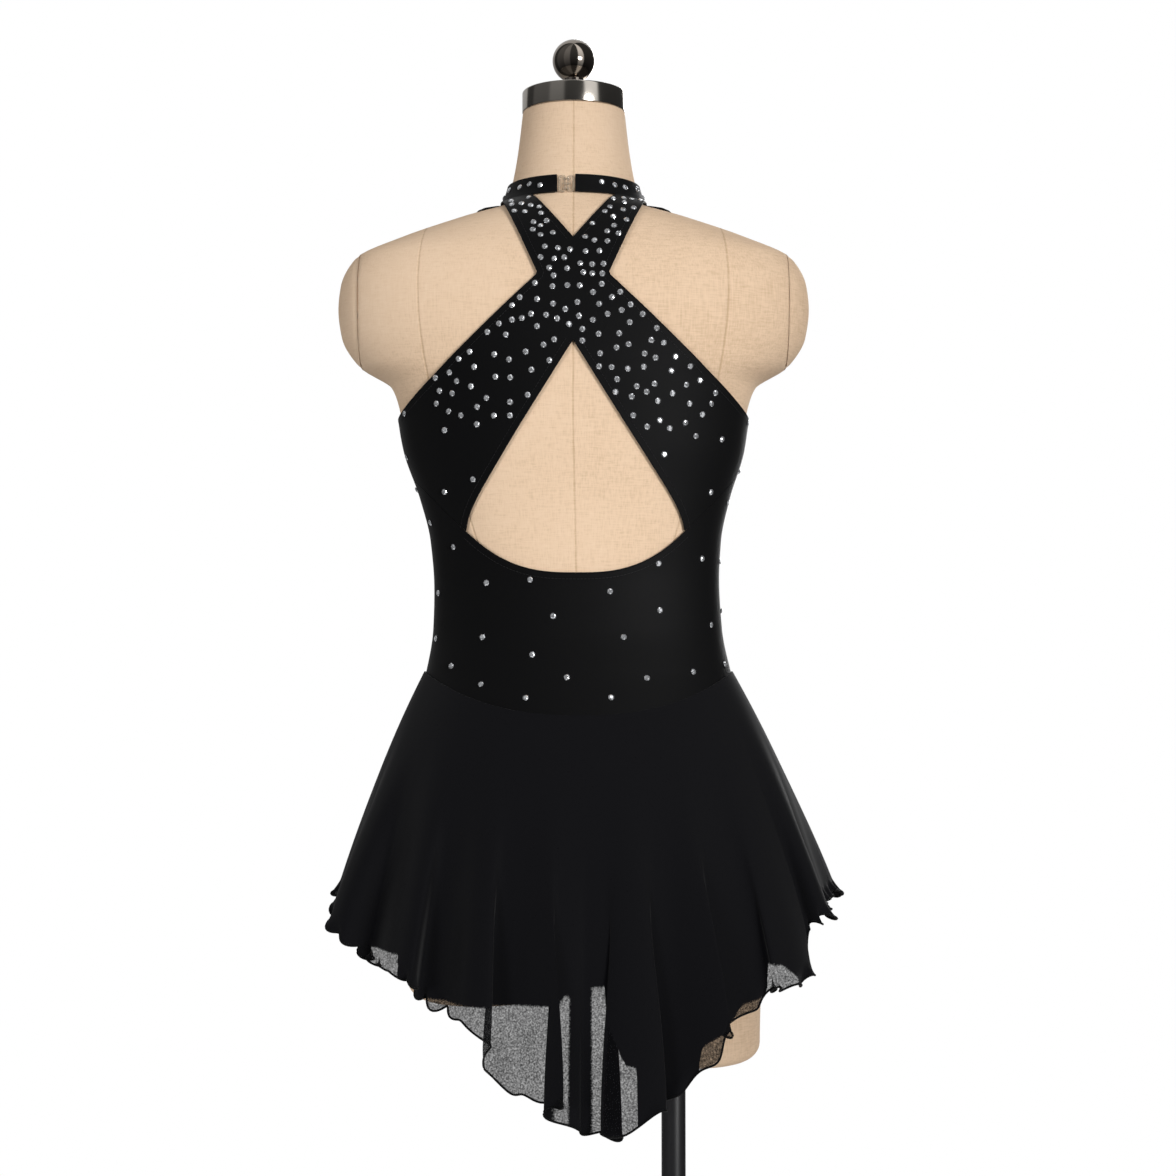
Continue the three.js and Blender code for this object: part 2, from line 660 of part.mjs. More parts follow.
// One side of the brief, from the crotch seam up to the hip seam; `start` is its first angle.
// The gusset is a narrow strip; above it the leg line climbs round to the side seam.
function briefPanel(start) {
  const gusset = bowlHeights(4, SIDE_GAP * 2).map((z) => [z, angleAt(LEG.gusset, z)]);
  const leg = steps(13).slice(1).map((t) => {
    const edge = mix(angleAt(LEG.gusset, LEG.low), SIDE_GAP, t);
    return [mix(LEG.low, LEG.high, Math.cos(edge) ** LEG.power), edge];
  });
  const row = ([z, edge], blend) =>
    turnSteps(12).map((t) => {
      const a = mix(start + edge, start + Math.PI - edge, t);
      return [a, mix(z, hipSeam(a) - 5 * SEAM, blend)];
    });
  const rows = [...gusset, ...leg].map((place) => row(place, 0));
  const hip = [0.4, 0.75, 1].map((blend) => row([LEG.high, SIDE_GAP], blend));
  return clothOnForm([...rows, ...hip], CLEAR + SEAM);
}

// ---- the scene ------------------------------------------------------------------------
const FINISH = {
  spandex: { color: 0x121214, roughness: 0.75, metalness: 0 },
  chiffon: { color: 0x1b1b1e, roughness: 0.85, metalness: 0 },
  clear: { color: 0xcfd0cc, roughness: 0.15, metalness: 0 },
  linen: { color: 0xe6d3b4, roughness: 0.9, metalness: 0 },
  chrome: { color: 0xb8b8b8, roughness: 0.15, metalness: 1 },
  darkChrome: { color: 0x55504e, roughness: 0.12, metalness: 1 },
  blackMetal: { color: 0x2c2b2d, roughness: 0.45, metalness: 0.4 },
};

const group = new THREE.Group();
function add(name, geometry, finish) {
  const mesh = new THREE.Mesh(geometry, new THREE.MeshStandardMaterial(FINISH[finish]));
  mesh.name = name;
  group.add(mesh);
}

add("front_bodice", frontBodice(), "spandex");
add("back_cross", backCross(), "spandex");
add("back_lower", backLower(), "spandex");
add("neck_band", neckBand(), "spandex");
add("clasp_hook", claspHalf(1), "clear");
add("clasp_loop", claspHalf(-1), "clear");
add("skirt_front", skirtPanel(RIGHT + SIDE_GAP, LEFT - SIDE_GAP), "chiffon");
add("skirt_back", skirtPanel(LEFT + SIDE_GAP, 2 * Math.PI - SIDE_GAP), "chiffon");
add("brief_front", briefPanel(RIGHT), "spandex");
add("brief_back", briefPanel(LEFT), "spandex");
for (const [name, geometry] of Object.entries(formPieces())) add(name, geometry, "linen");
add("neck_cap", neckCap(), "chrome");
add("neck_knob", neckKnob(), "darkChrome");
add("pole", poleRod(), "blackMetal");
add("pole_socket", poleSocket(), "blackMetal");
add("base_plate", basePlate(), "blackMetal");

export default group;
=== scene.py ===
"""A black halter figure skating dress on a limbless linen dress form with a pole stand.

The shapes are worked out in millimetres, as surfaces of two parameters, and scaled to metres
when they become meshes. The dress form is one surface, form_point(a, z): a is the angle round
the body, 0 at the wearer's right side, a quarter turn at the front, and z is the height. Every
piece of the bodice lies a set distance outside that surface, between edges given by formulas, and
the skirt hangs from it at the hips.
"""
import math

import bmesh
import bpy
import numpy as np
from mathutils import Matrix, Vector


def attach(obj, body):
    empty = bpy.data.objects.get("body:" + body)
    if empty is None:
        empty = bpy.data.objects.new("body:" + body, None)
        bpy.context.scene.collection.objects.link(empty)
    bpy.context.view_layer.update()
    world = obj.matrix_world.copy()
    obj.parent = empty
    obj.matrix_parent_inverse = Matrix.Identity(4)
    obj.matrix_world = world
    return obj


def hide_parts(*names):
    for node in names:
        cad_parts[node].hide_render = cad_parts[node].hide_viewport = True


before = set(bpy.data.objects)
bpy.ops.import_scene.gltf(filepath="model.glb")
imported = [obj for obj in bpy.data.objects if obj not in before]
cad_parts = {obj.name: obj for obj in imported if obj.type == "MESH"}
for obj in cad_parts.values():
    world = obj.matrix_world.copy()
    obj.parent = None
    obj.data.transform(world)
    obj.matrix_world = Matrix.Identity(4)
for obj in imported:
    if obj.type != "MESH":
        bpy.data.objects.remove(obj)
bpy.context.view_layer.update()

MM = 0.001
HALF_TURN = math.pi
BACK = 1.5 * math.pi
RANDOM = np.random.default_rng(7)

# ---- sizes of the dress form, in millimetres ----
FORM_COLUMNS = ("z", "side", "back", "front", "lead", "power")
FORM = np.array([
    (740, 160, 105, 92, 0, 2.3),
    (780, 162, 113, 95, 0, 2.3),
    (820, 161.5, 115, 98, 0, 2.3),
    (860, 155, 110, 98, 0, 2.3),
    (900, 144, 98, 95, 0, 2.25),
    (940, 130.5, 84, 90, 0, 2.2),
    (979, 123.5, 74, 86, 0, 2.2),
    (1017, 122, 71, 86, 0, 2.2),
    (1056, 124.5, 75, 91, 0, 2.25),
    (1095, 133.5, 80, 99, 0, 2.3),
    (1134, 146.5, 86, 105, 0, 2.3),
    (1172, 153.5, 90, 106, 0, 2.3),
    (1192, 161, 92, 104, 0, 2.25),
    (1211, 190, 93, 101, 0, 2.05),
    (1236, 205, 93, 95, 0, 2.15),
    (1260, 208, 91, 87, 0, 2.3),
    (1280, 206, 88, 80, 0, 2.4),
    (1304, 194, 82, 72, 1, 2.4),
    (1322, 157, 75, 66, 3, 2.3),
    (1341, 104, 66, 59, 6, 2.15),
    (1354, 63, 59, 55, 8, 2.0),
    (1371, 56, 54, 51, 10, 2.0),
    (1404, 50, 48, 47, 14, 2.0),
    (1442, 45.7, 45, 45, 18, 2.0),
])
# The body closes from BOWL down to the crotch, to BOWL_WIDE of its width.
FORM_TOP, CROTCH, BOWL, BOWL_WIDE = 1442.0, 706.0, 740.0, 0.55
SWAY_TOP, SWAY = 1150.0, 0.021
BUST = dict(z=1174.0, rise=24.0, wide=108.0, high=56.0)
CAP_PLANE, CAP_GAP, CAP_MIDDLE, CAP_ROUND = 187.0, 0.3, 1258.0, 1.2
THIGH_COLUMNS = ("z", "x", "side", "depth")
THIGH = np.array([
    (600, 92, 58, 80),
    (650, 91, 61, 84),
    (700, 90, 67, 87),
    (735, 87, 71, 84),
    (775, 82, 66, 66),
])
THIGH_END = {"right": 607.0, "left": 659.0}
TOWARDS = {"right": 1, "left": -1}   # along X
THIGH_EDGE, THIGH_BACK = 14.0, 6.0

# ---- sizes of the dress ----
# Cloth starts CLEAR outside the form and is CLOTH thick; pieces lie SEAM apart.
CLEAR, CLOTH, SEAM = 2.4, 1.0, 0.3
ON_CLOTH = CLEAR + CLOTH
BAND_LOW, BAND_TOP, BAND_GAP_AT, BAND_GAP = 1354.5, 1371.5, -6.0, 15.0
UNDERARM, SHOULDER_TOP, SHOULDER_HALF = 1162.0, 1354.2, 84.0
WRAP_FROM, WRAP = 1334.0, 0.3
HIP_SIDE, HIP_BACK, HIP_FRONT = 940.0, 902.0, 925.0
SCOOP_MIDDLE, SCOOP_SIDE, SCOOP_POWER, SCOOP_GAP = 1025.0, 1112.0, 2.55, 0.4
UPPER_NOTCH, SIDE_NOTCH, LOWER_NOTCH, CROSS_TOP = 1309.0, 1277.0, 1220.0, 1352.0
OUTER_Z, OUTER_X = (UNDERARM, SIDE_NOTCH, CROSS_TOP), (152.0, 30.0, 63.0)
INNER_SLOPE, INNER_WIDEST, INNER_BEND = 0.632, 94.0, 16
STRAP_INNER = 34.0
GUSSET_HALF, LEG_LOW, LEG_SIDE = 12.0, 740.0, 816.0
SIDE_GAP = 0.0008         # an angle: half the gap at a side seam

# The skirt's flare: how far out it goes for each millimetre down, and how that bends back.
FLARE_SIDE, FLARE_LEFT, FLARE_BACK, FLARE_FRONT, FLARE_BEND = 0.56, 0.50, 0.42, 0.40, 0.0005
HEM_SIDE, HEM_FRONT = 747.0, 685.0
# The back hem: angle in degrees, 180 at the wearer's left side, and height.
HEM_BACK = np.array([
    (180, 747), (197, 744), (201, 732), (208, 714), (215, 700), (222, 697), (229, 687),
    (236, 670), (243, 661), (250, 634), (257, 602), (263, 599), (267, 588), (270, 575),
    (277, 571), (281, 575), (284, 592), (291, 595), (296, 622), (300, 650), (306, 654),
    (310, 666), (314, 682), (322, 684), (327, 690), (331, 725), (340, 736), (360, 747),
])
# The flutes: centre angle and half angle in degrees, and how far out each goes.
FLUTES = np.array([
    (8, 15, 14), (33, 12, 16), (58, 12, 18), (84, 13, 17), (110, 12, 18), (137, 13, 16),
    (172, 15, 10), (203, 11, 22), (226, 11, 22), (246, 9, 20), (264, 8, 20), (282, 8, 20),
    (300, 9, 20), (320, 11, 22), (339, 9, 22),
], float)
FLUTE_MEAN = 8.0

# ---- sizes of the stand and the metal parts ----
POLE_X, POLE_Y, POLE_R, POLE_INTO = 87.0, -5.0, 10.5, 60.0
SOCKET_R, SOCKET_HIGH = 19.0, 20.0
BASE_R, BASE_THICK, HUB_R, HUB_HIGH, HUB_FOOT = 200.0, 7.0, 24.0, 34.0, 8.0
CAP_LOW, CAP_TOP, CAP_OVER, CAP_BEVEL = 1442.3, 1461.0, 0.6, 1.6
KNOB_R, KNOB_Z, KNOB_FOOT = 19.2, 1490.0, 9.3


# ---- numbers ----
def mix(low, high, t):
    """From low at 0 to high at 1, in a straight line."""
    return low + (high - low) * t


def full_turn(count):
    """Angles all the way round, with the last one short of the first."""
    return np.linspace(0, 2 * np.pi, count, endpoint=False)


def smooth(t):
    """0 to 1 with level ends: t squared times 3 minus 2t."""
    t = np.clip(t, 0.0, 1.0)
    return t * t * (3.0 - 2.0 * t)


def signed_power(value, p):
    """A value's size to a power, with its sign kept."""
    return np.sign(value) * np.abs(value) ** p


def column(table, index):
    """A table's column as a smooth function of its first column that never overshoots."""
    xs, ys = table[:, 0].astype(float), table[:, index].astype(float)
    slopes = np.diff(ys) / np.diff(xs)
    before, after = slopes[:-1], slopes[1:]
    total = np.where(before * after > 0, before + after, 1.0)
    inner = np.where(before * after > 0, 2 * before * after / total, 0.0)
    tangents = np.concatenate([slopes[:1], inner, slopes[-1:]])

    def value(x):
        x = np.clip(x, xs[0], xs[-1])
        i = np.clip(np.searchsorted(xs, x, side="right") - 1, 0, len(xs) - 2)
        step = xs[i + 1] - xs[i]
        t = (x - xs[i]) / step
        bulge = t * (1 - t) * step * ((1 - t) * tangents[i] - t * tangents[i + 1])
        return mix(ys[i], ys[i + 1], t * t * (3 - 2 * t)) + bulge

    return value


form = {name: column(FORM, i) for i, name in enumerate(FORM_COLUMNS) if i}
thigh = {name: column(THIGH, i) for i, name in enumerate(THIGH_COLUMNS) if i}


# ---- the form's surface ----
def sway(z):
    """The form leans to its right below SWAY_TOP, by SWAY for each millimetre."""
    return SWAY * np.maximum(0.0, SWAY_TOP - z)


def bowl_at(z):
    """How far the body is open below BOWL: a quarter circle from 1 down to 0 at the crotch."""
    return np.sqrt(1 - np.clip((BOWL - z) / (BOWL - CROTCH), 0, 1) ** 2)


def half_width(z):
    """Half the body's width at a height."""
    return form["side"](z) * mix(BOWL_WIDE, 1.0, bowl_at(z))


def form_point(a, z):
    """A superellipse at each height: side times cos to the power 2/p, depth times sin likewise.

    In front, one soft rise for the bust is added, a product of two bell curves.
    """
    a, z = np.broadcast_arrays(np.asarray(a, float), np.asarray(z, float))
    bend = 2 / form["power"](z)
    x = half_width(z) * signed_power(np.cos(a), bend)
    depth = np.where(np.sin(a) > 0, form["front"](z), form["back"](z)) * bowl_at(z)
    away = (x / BUST["wide"]) ** 4 + ((z - BUST["z"]) / BUST["high"]) ** 2
    bust = BUST["rise"] * np.exp(-away) * np.clip(np.sin(a) * 2, 0, 1)
    y = form["lead"](z) + depth * signed_power(np.sin(a), bend) + bust
    return np.stack([x + sway(z), y, z], -1)


def unit(vectors):
    """Directions: each vector over its length."""
    return vectors / np.maximum(np.linalg.norm(vectors, axis=-1, keepdims=True), 1e-9)


def form_normal(a, z):
    """Outward direction: the cross product of the surface's run round and its run upwards."""
    a, z = np.broadcast_arrays(np.asarray(a, float), np.asarray(z, float))
    above, below = np.minimum(FORM_TOP, z + 2), np.maximum(CROTCH + 0.2, z - 2)
    round_run = form_point(a + 0.01, z) - form_point(a - 0.01, z)
    up_run = form_point(a, above) - form_point(a, below)
    return unit(np.cross(round_run, up_run))


def on_form(a, z, out):
    """Points a set distance outside the form: the surface plus out times its normal."""
    return form_point(a, z) + form_normal(a, z) * np.asarray(out)[..., None]


def angle_at(x, z):
    """The angle, from the widest point, at which the surface is x from the middle."""
    part = np.clip(np.abs(x) / half_width(z), 0, 1)
    return np.arccos(part ** (form["power"](z) / 2))


# ---- meshes ----
def grid_faces(rows, columns, closed=False, first=0):
    """Quads of a grid of points in rows; a closed grid joins its last column to its first."""
    r = np.arange(rows - 1)[:, None]
    c = np.arange(columns if closed else columns - 1)[None, :]
    right = (c + 1) % columns
    low, high = r * columns, (r + 1) * columns
    return np.stack((low + c, low + right, high + right, high + c), -1).reshape(-1, 4) + first


def make_mesh(name, points, faces, material, smooth_shade=True):
    """A mesh object at the origin, from points in millimetres and a list of faces."""
    mesh = bpy.data.meshes.new(name)
    places = np.asarray(points).reshape(-1, 3) * MM
    mesh.from_pydata(places.tolist(), [], [list(face) for face in faces])
    mesh.polygons.foreach_set("use_smooth", [smooth_shade] * len(mesh.polygons))
    mesh.materials.append(material)
    mesh.update()
    piece = bpy.data.objects.new(name, mesh)
    bpy.context.scene.collection.objects.link(piece)
    return piece


def set_attribute(piece, name, values):
    """Gives each vertex of a piece a number that its material can read."""
    layer = piece.data.attributes.new(name, "FLOAT", "POINT")
    layer.data.foreach_set("value", np.asarray(values, np.float32).ravel())


def crease(piece, degrees):
    """Shows each edge sharper than an angle as a crease, and the rest smooth."""
    piece.data.set_sharp_from_angle(angle=math.radians(degrees))


def points_of(piece):
    """A piece's points in millimetres."""
    return np.array([v.co for v in piece.data.vertices]) / MM


def without_seams(piece):
    """Puts a piece of linen far from every seam line, so that none shows on it."""
    for name in ("middle_seam", "side_seam"):
        set_attribute(piece, name, np.full(len(piece.data.vertices), 99.0))


def place(piece, replaces=()):
    """Hangs a finished piece on the one body and hides the CAD nodes it stands for."""
    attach(piece, "root")
    if replaces:
        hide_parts(*replaces)
    return piece


def wall_faces(faces, count):
    """Faces of a closed wall: the outer sheet, the inner one turned over, and its free edges.

    An edge is free when no other face of the sheet runs along it the other way.
    """
    faces = np.asarray(faces)
    start, end = faces.ravel(), np.roll(faces, -1, axis=1).ravel()
    free = ~np.isin(start * count + end, end * count + start)
    a, b = start[free], end[free]
    rim = np.stack([b, a, a + count, b + count], -1)
    return np.concatenate([faces, faces[:, ::-1] + count, rim])


def wall(name, inner, outer, faces, material):
    """A closed wall between an inner and an outer sheet that share their faces."""
    outer, inner = outer.reshape(-1, 3), inner.reshape(-1, 3)
    piece = make_mesh(name, np.concatenate([outer, inner]), wall_faces(faces, len(outer)), material)
    crease(piece, 50)
    return piece


def cloth_on_form(name, a, z, faces, material, out=CLEAR, thick=CLOTH):
    """A wall of cloth that follows the form over a sheet of angles and heights."""
    inner = on_form(a, z, np.broadcast_to(out, a.shape))
    outer = on_form(a, z, np.broadcast_to(out + thick, a.shape))
    return wall(name, inner, outer, faces, material)


def turned(name, profile, x, y, material, sides=96):
    """A profile of (radius, height) points carried round the vertical line through (x, y)."""
    profile = np.array(profile, float)
    turn = full_turn(sides)
    radius, height = profile[:, :1], profile[:, 1:]
    points = np.stack([x + radius * np.cos(turn), y + radius * np.sin(turn),
                       np.broadcast_to(height, (len(profile), sides))], -1)
    piece = make_mesh(name, points, grid_faces(len(profile), sides, closed=True), material)
    tidy_mesh(piece)
    crease(piece, 35)
    return piece


def tidy_mesh(piece, distance=1e-6):
    """Merges points that coincide, as at a pole, and turns all faces outwards."""
    work = bmesh.new()
    work.from_mesh(piece.data)
    bmesh.ops.remove_doubles(work, verts=work.verts, dist=distance)
    bmesh.ops.dissolve_degenerate(work, dist=distance, edges=work.edges)
    bmesh.ops.recalc_face_normals(work, faces=work.faces)
    work.to_mesh(piece.data)
    work.free()


def arc(radius, height, size, start, end, count=6):
    """Points of a round profile edge about (radius, height), from angle to angle in degrees."""
    turn = np.radians(np.linspace(start, end, count))
    return [(radius + size * c, height + size * s) for c, s in zip(np.cos(turn), np.sin(turn))]


# ---- camera ----
CAMERA_AWAY, CAMERA_HIGH, CAMERA_X, VIEW_WIDE, TILT = 2000.0, 917.0, 12.7, 1035.0, 2.8


def make_camera():
    """Behind the dress, level with its waist and pitched up a little."""
    data = bpy.data.cameras.new("camera")
    camera = bpy.data.objects.new("camera", data)
    bpy.context.scene.collection.objects.link(camera)
    data.sensor_width = 36.0
    data.angle = 2 * math.atan(VIEW_WIDE / 2 / CAMERA_AWAY)
    camera.location = (CAMERA_X * MM, -CAMERA_AWAY * MM, CAMERA_HIGH * MM)
    camera.rotation_euler = (math.radians(90 + TILT), 0, 0)
    bpy.context.scene.camera = camera


make_camera()


# ---- the dress form ----
def body_grid(columns=240, rows=230):
    """Angles and heights over the whole body; the rounded bowl gets rows even along its curve."""
    bowl = BOWL - (BOWL - CROTCH) * np.cos(np.linspace(0.03, HALF_TURN / 2, 16))
    heights = np.concatenate([bowl[:-1], np.linspace(BOWL, FORM_TOP, rows)])
    angles = full_turn(columns)
    return np.meshgrid(angles, heights)


def closed_loft(name, rings, material):
    """A closed skin through rings of points, with a flat fan at each end."""
    rows, columns = rings.shape[:2]
    faces = grid_faces(rows, columns, closed=True).tolist()
    points = np.concatenate([rings.reshape(-1, 3), [rings[0].mean(0)], [rings[-1].mean(0)]])
    ahead = (np.arange(columns) + 1) % columns
    faces += [[int(ahead[i]), i, rows * columns] for i in range(columns)]
    last = (rows - 1) * columns
    faces += [[last + i, last + int(ahead[i]), rows * columns + 1] for i in range(columns)]
    return make_mesh(name, points, faces, material)


SEAM_FROM, SEAM_RISE, SEAM_X, SEAM_BOW = 1000.0, 330.0, (72.0, 128.0), 18.0


def seam_distances(points):
    """Signed distances to the centre seam and the side-back seams, which bow as half a sine."""
    z = points[:, 2]
    x = points[:, 0] - sway(z)
    rise = np.clip((z - SEAM_FROM) / SEAM_RISE, 0, 1)
    side_seam = mix(*SEAM_X, smooth(rise)) + SEAM_BOW * np.sin(np.pi * rise)
    return x, np.abs(x) - side_seam


def make_torso(material):
    """The body's surface, cut flat where a shoulder cap meets it."""
    a, z = body_grid()
    rings = form_point(a, z)
    rings[..., 0] = np.clip(rings[..., 0], -CAP_PLANE, CAP_PLANE)
    piece = closed_loft("torso_linen", rings, material)
    middle, side = seam_distances(points_of(piece))
    set_attribute(piece, "middle_seam", middle)
    set_attribute(piece, "side_seam", side)
    crease(piece, 40)
    return piece


def make_thigh(side_name, material):
    """Ellipses down to a rounded end: the inset follows a quarter circle."""
    sign, end = TOWARDS[side_name], THIGH_END[side_name]
    turn = np.linspace(0, HALF_TURN / 2, 10)
    heights = np.concatenate([end + THIGH_EDGE * (1 - np.cos(turn)),
                              np.linspace(end + THIGH_EDGE, THIGH[-1, 0], 30)[1:]])
    inset = np.concatenate([THIGH_EDGE * (1 - np.sin(turn)), np.zeros(29)])[:, None]
    a = full_turn(120)[None, :]
    z = heights[:, None]
    x = sign * thigh["x"](z) + sway(z) + (thigh["side"](z) - inset) * np.cos(a)
    y = (thigh["depth"](z) - inset) * np.sin(a) - THIGH_BACK
    rings = np.stack([x, y, np.broadcast_to(z, x.shape)], -1)
    piece = closed_loft(f"thigh_{side_name}", rings, material)
    without_seams(piece)
    return piece


def make_shoulder_cap(side_name, material):
    """The end of the shoulder: the body's own surface beyond the cap plane, rim drawn in."""
    face_x = CAP_PLANE + CAP_GAP
    turn = full_turn(128)

    def surface(radius):
        y, z = radius * np.cos(turn), CAP_MIDDLE + radius * np.sin(turn)
        depth = np.where(y > form["lead"](z), form["front"](z), form["back"](z))
        p = form["power"](z)
        part = 1 - np.clip(np.abs(y - form["lead"](z)) / depth, 0, 1) ** p
        return half_width(z) * part ** (1 / p), y, z

    near, far = np.zeros(128), np.full(128, 90.0)
    for _ in range(40):
        middle = (near + far) / 2
        inside = surface(middle)[0] > face_x
        near, far = np.where(inside, middle, near), np.where(inside, far, middle)
    share = np.linspace(0.02, 1, 30)
    rows = [np.stack(surface(near * s), -1) for s in share]
    drawn_in = CAP_ROUND * smooth((share - 0.9) / 0.1)
    dome = np.stack([row - [inset, 0, 0] for row, inset in zip(rows, drawn_in)])
    dome[..., 0] = np.maximum(dome[..., 0], face_x)
    rim = dome[-1].copy()
    rim[:, 0] = face_x
    rings = np.concatenate([dome, rim[None]]) * [TOWARDS[side_name], 1, 1]
    piece = closed_loft(f"shoulder_cap_{side_name}_linen", rings, material)
    tidy_mesh(piece)
    without_seams(piece)
    crease(piece, 50)
    return piece


# ---- the dress: edges ----
def hip_seam(a):
    """The seam's height: level with the hips at the sides, lower at the back and the front."""
    middle = np.where(np.sin(a) < 0, HIP_BACK, HIP_FRONT)
    return mix(middle, HIP_SIDE, np.cos(a) ** 2)


def scoop(a):
    """The lower back's upper edge: flat in the middle, rising to the side seams."""
    return mix(SCOOP_MIDDLE, SCOOP_SIDE, np.abs(np.cos(a)) ** SCOOP_POWER)


def front_half_width(z):
    """The halter front: its full width up to the underarm, then a hollow curve inwards."""
    t = np.clip((z - UNDERARM) / (BAND_LOW - UNDERARM), 0, 1)
    curve = mix(SHOULDER_HALF, half_width(UNDERARM), (1 - t) ** 2.6)
    return np.where(z <= UNDERARM, half_width(z), curve)


def shoulder_wrap(z):
    """How far, as an angle, the halter's ends reach round to the back beside the neck."""
    t = np.clip((z - WRAP_FROM) / (SHOULDER_TOP - WRAP_FROM), 0, 1)
    return WRAP * np.sin(np.pi * t)


def front_edge(z):
    """The front's edge as an angle: its hollow curve, less what wraps round to the back."""
    return np.maximum(SIDE_GAP, angle_at(front_half_width(z), z)) - shoulder_wrap(z)


def cross_outer_angle(z):
    """Outer edge of the crossed back: straight runs between set places."""
    edge = angle_at(np.interp(z, OUTER_Z, OUTER_X), z)
    return np.maximum(SIDE_GAP, np.where(z <= UNDERARM, 0, edge))


def cross_inner_angle(z):
    """Inner edge of the crossed back: a straight run that bends over to a greatest width."""
    run = np.maximum(INNER_SLOPE * (LOWER_NOTCH - z), 1e-6)
    lower = (run ** -INNER_BEND + INNER_WIDEST ** -INNER_BEND) ** (-1 / INNER_BEND)
    upper = STRAP_INNER * (z - UPPER_NOTCH) / (CROSS_TOP - UPPER_NOTCH)
    x = np.where(z > UPPER_NOTCH, upper, np.where(z < LOWER_NOTCH, lower, 0))
    return angle_at(x, z)


# ---- the dress: sheets of angles and heights ----
def front_sheet(columns=150):
    """The front: rows from the hip seam up, closer together at the underarm and the shoulder."""
    low, shoulder_low = HIP_SIDE + 22, 1313.0
    level = np.concatenate([np.full(10, low), np.linspace(low, UNDERARM, 60)[1:],
                            mix(UNDERARM, shoulder_low, np.linspace(0, 1, 70)[1:] ** 2),
                            np.linspace(shoulder_low, SHOULDER_TOP, 30)[1:]])
    blend = np.minimum(1, np.arange(len(level)) / 9)[:, None]
    edge = front_edge(level)[:, None]
    a = mix(edge, HALF_TURN - edge, np.linspace(0, 1, columns)[None, :])
    z = mix(hip_seam(a), level[:, None], blend)
    return a, z, grid_faces(*a.shape)


def lower_back_sheet(rows=60, columns=150):
    """The lower back: straight rows from the hip seam to the scoop."""
    t, v = np.meshgrid(np.linspace(0, 1, columns), np.linspace(0, 1, rows))
    a = mix(HALF_TURN + SIDE_GAP, 2 * HALF_TURN - SIDE_GAP, t)
    return a, mix(hip_seam(a), scoop(a) - SCOOP_GAP, v), grid_faces(rows, columns)


def cross_sheet(columns=44):
    """The X of the back: rows from the outer to the inner edge, up one side and mirrored.

    The lowest rows start on the scoop, whose height and angle are found together.
    """
    t = np.linspace(0, 1, columns)[None, :]

    def angle(z):
        return mix(cross_outer_angle(z), cross_inner_angle(z), t)

    foot = np.full((1, columns), SCOOP_SIDE)
    for _ in range(60):
        foot = mix(foot, scoop(HALF_TURN + angle(foot)) + SCOOP_GAP, 0.5)
    lower = mix(foot, UNDERARM, np.linspace(0, 1, 26)[:-1, None])
    levels = np.concatenate([mix(UNDERARM, LOWER_NOTCH, np.linspace(0, 1, 36)[:-1] ** 2),
                             np.linspace(LOWER_NOTCH, UPPER_NOTCH, 30)[:-1],
                             np.linspace(UPPER_NOTCH, SHOULDER_TOP, 34)])[:, None]
    z = np.concatenate([lower, np.broadcast_to(levels, (len(levels), columns))])
    a = angle(z)
    both = np.concatenate([np.stack([HALF_TURN + a, z], -1),
                           np.stack([2 * HALF_TURN - a, z], -1)[:, ::-1]])
    faces = np.concatenate([grid_faces(*z.shape), grid_faces(*z.shape, first=z.size)])
    places = np.round(both.reshape(-1, 2), 6)
    own, index = np.unique(places, axis=0, return_inverse=True)
    return own[:, 0], own[:, 1], index.ravel()[faces]


def band_sheet(rows=9, columns=200):
    """The neck band: once round the neck, from one side of the clasp's gap to the other."""
    z = np.linspace(BAND_LOW, BAND_TOP, rows)[:, None]
    first = BACK + np.arcsin((BAND_GAP_AT + BAND_GAP / 2) / half_width(z)) - 2 * HALF_TURN
    last = BACK + np.arcsin((BAND_GAP_AT - BAND_GAP / 2) / half_width(z))
    a = mix(first, last, np.linspace(0, 1, columns)[None, :])
    return a, np.broadcast_to(z, a.shape), grid_faces(rows, columns)


def brief_sheet(start, columns=90):
    """One side of the brief: a gusset strip, then a leg line that climbs to the side seam."""
    bowl = BOWL - (BOWL - CROTCH) * np.cos(np.linspace(2 * SIDE_GAP, HALF_TURN / 2, 14))
    gusset = angle_at(GUSSET_HALF, bowl)
    leg = np.linspace(gusset[-1], SIDE_GAP, 50)[1:]
    side_rows = 24
    level = np.concatenate([bowl, mix(LEG_LOW, LEG_SIDE, np.cos(leg) ** 1.2),
                            np.full(side_rows, LEG_SIDE)])
    edge = np.concatenate([gusset, leg, np.full(side_rows, SIDE_GAP)])[:, None]
    turned_up = np.arange(len(level)) - len(bowl) - len(leg) + 1
    blend = np.clip(turned_up / side_rows, 0, 1)[:, None]
    a = start + mix(edge, HALF_TURN - edge, np.linspace(0, 1, columns)[None, :])
    return a, mix(level[:, None], hip_seam(a) - SEAM, blend), grid_faces(*a.shape)


# ---- the skirt ----
# Folds that lap over themselves: angle, half angle, how far each laps, how deep it is.
FOLDS = np.array([
    (-150, 5, 10, 5), (-129, 4, 13, 5), (-110, 2.4, 12.5, 5), (-95.2, 2.8, 19.5, 7),
    (-89.4, 1.8, 13, 4), (-83.2, 2.8, 20, 6), (-73, 2.8, 15, 5), (-58, 3, 12, 5),
    (-44, 4, 12, 5), (-26, 5, 11, 5), (35, 5, 8, 4), (62, 5, 9, 4),
    (88, 5, 9, 4), (115, 5, 9, 4), (142, 5, 8, 4),
], float)
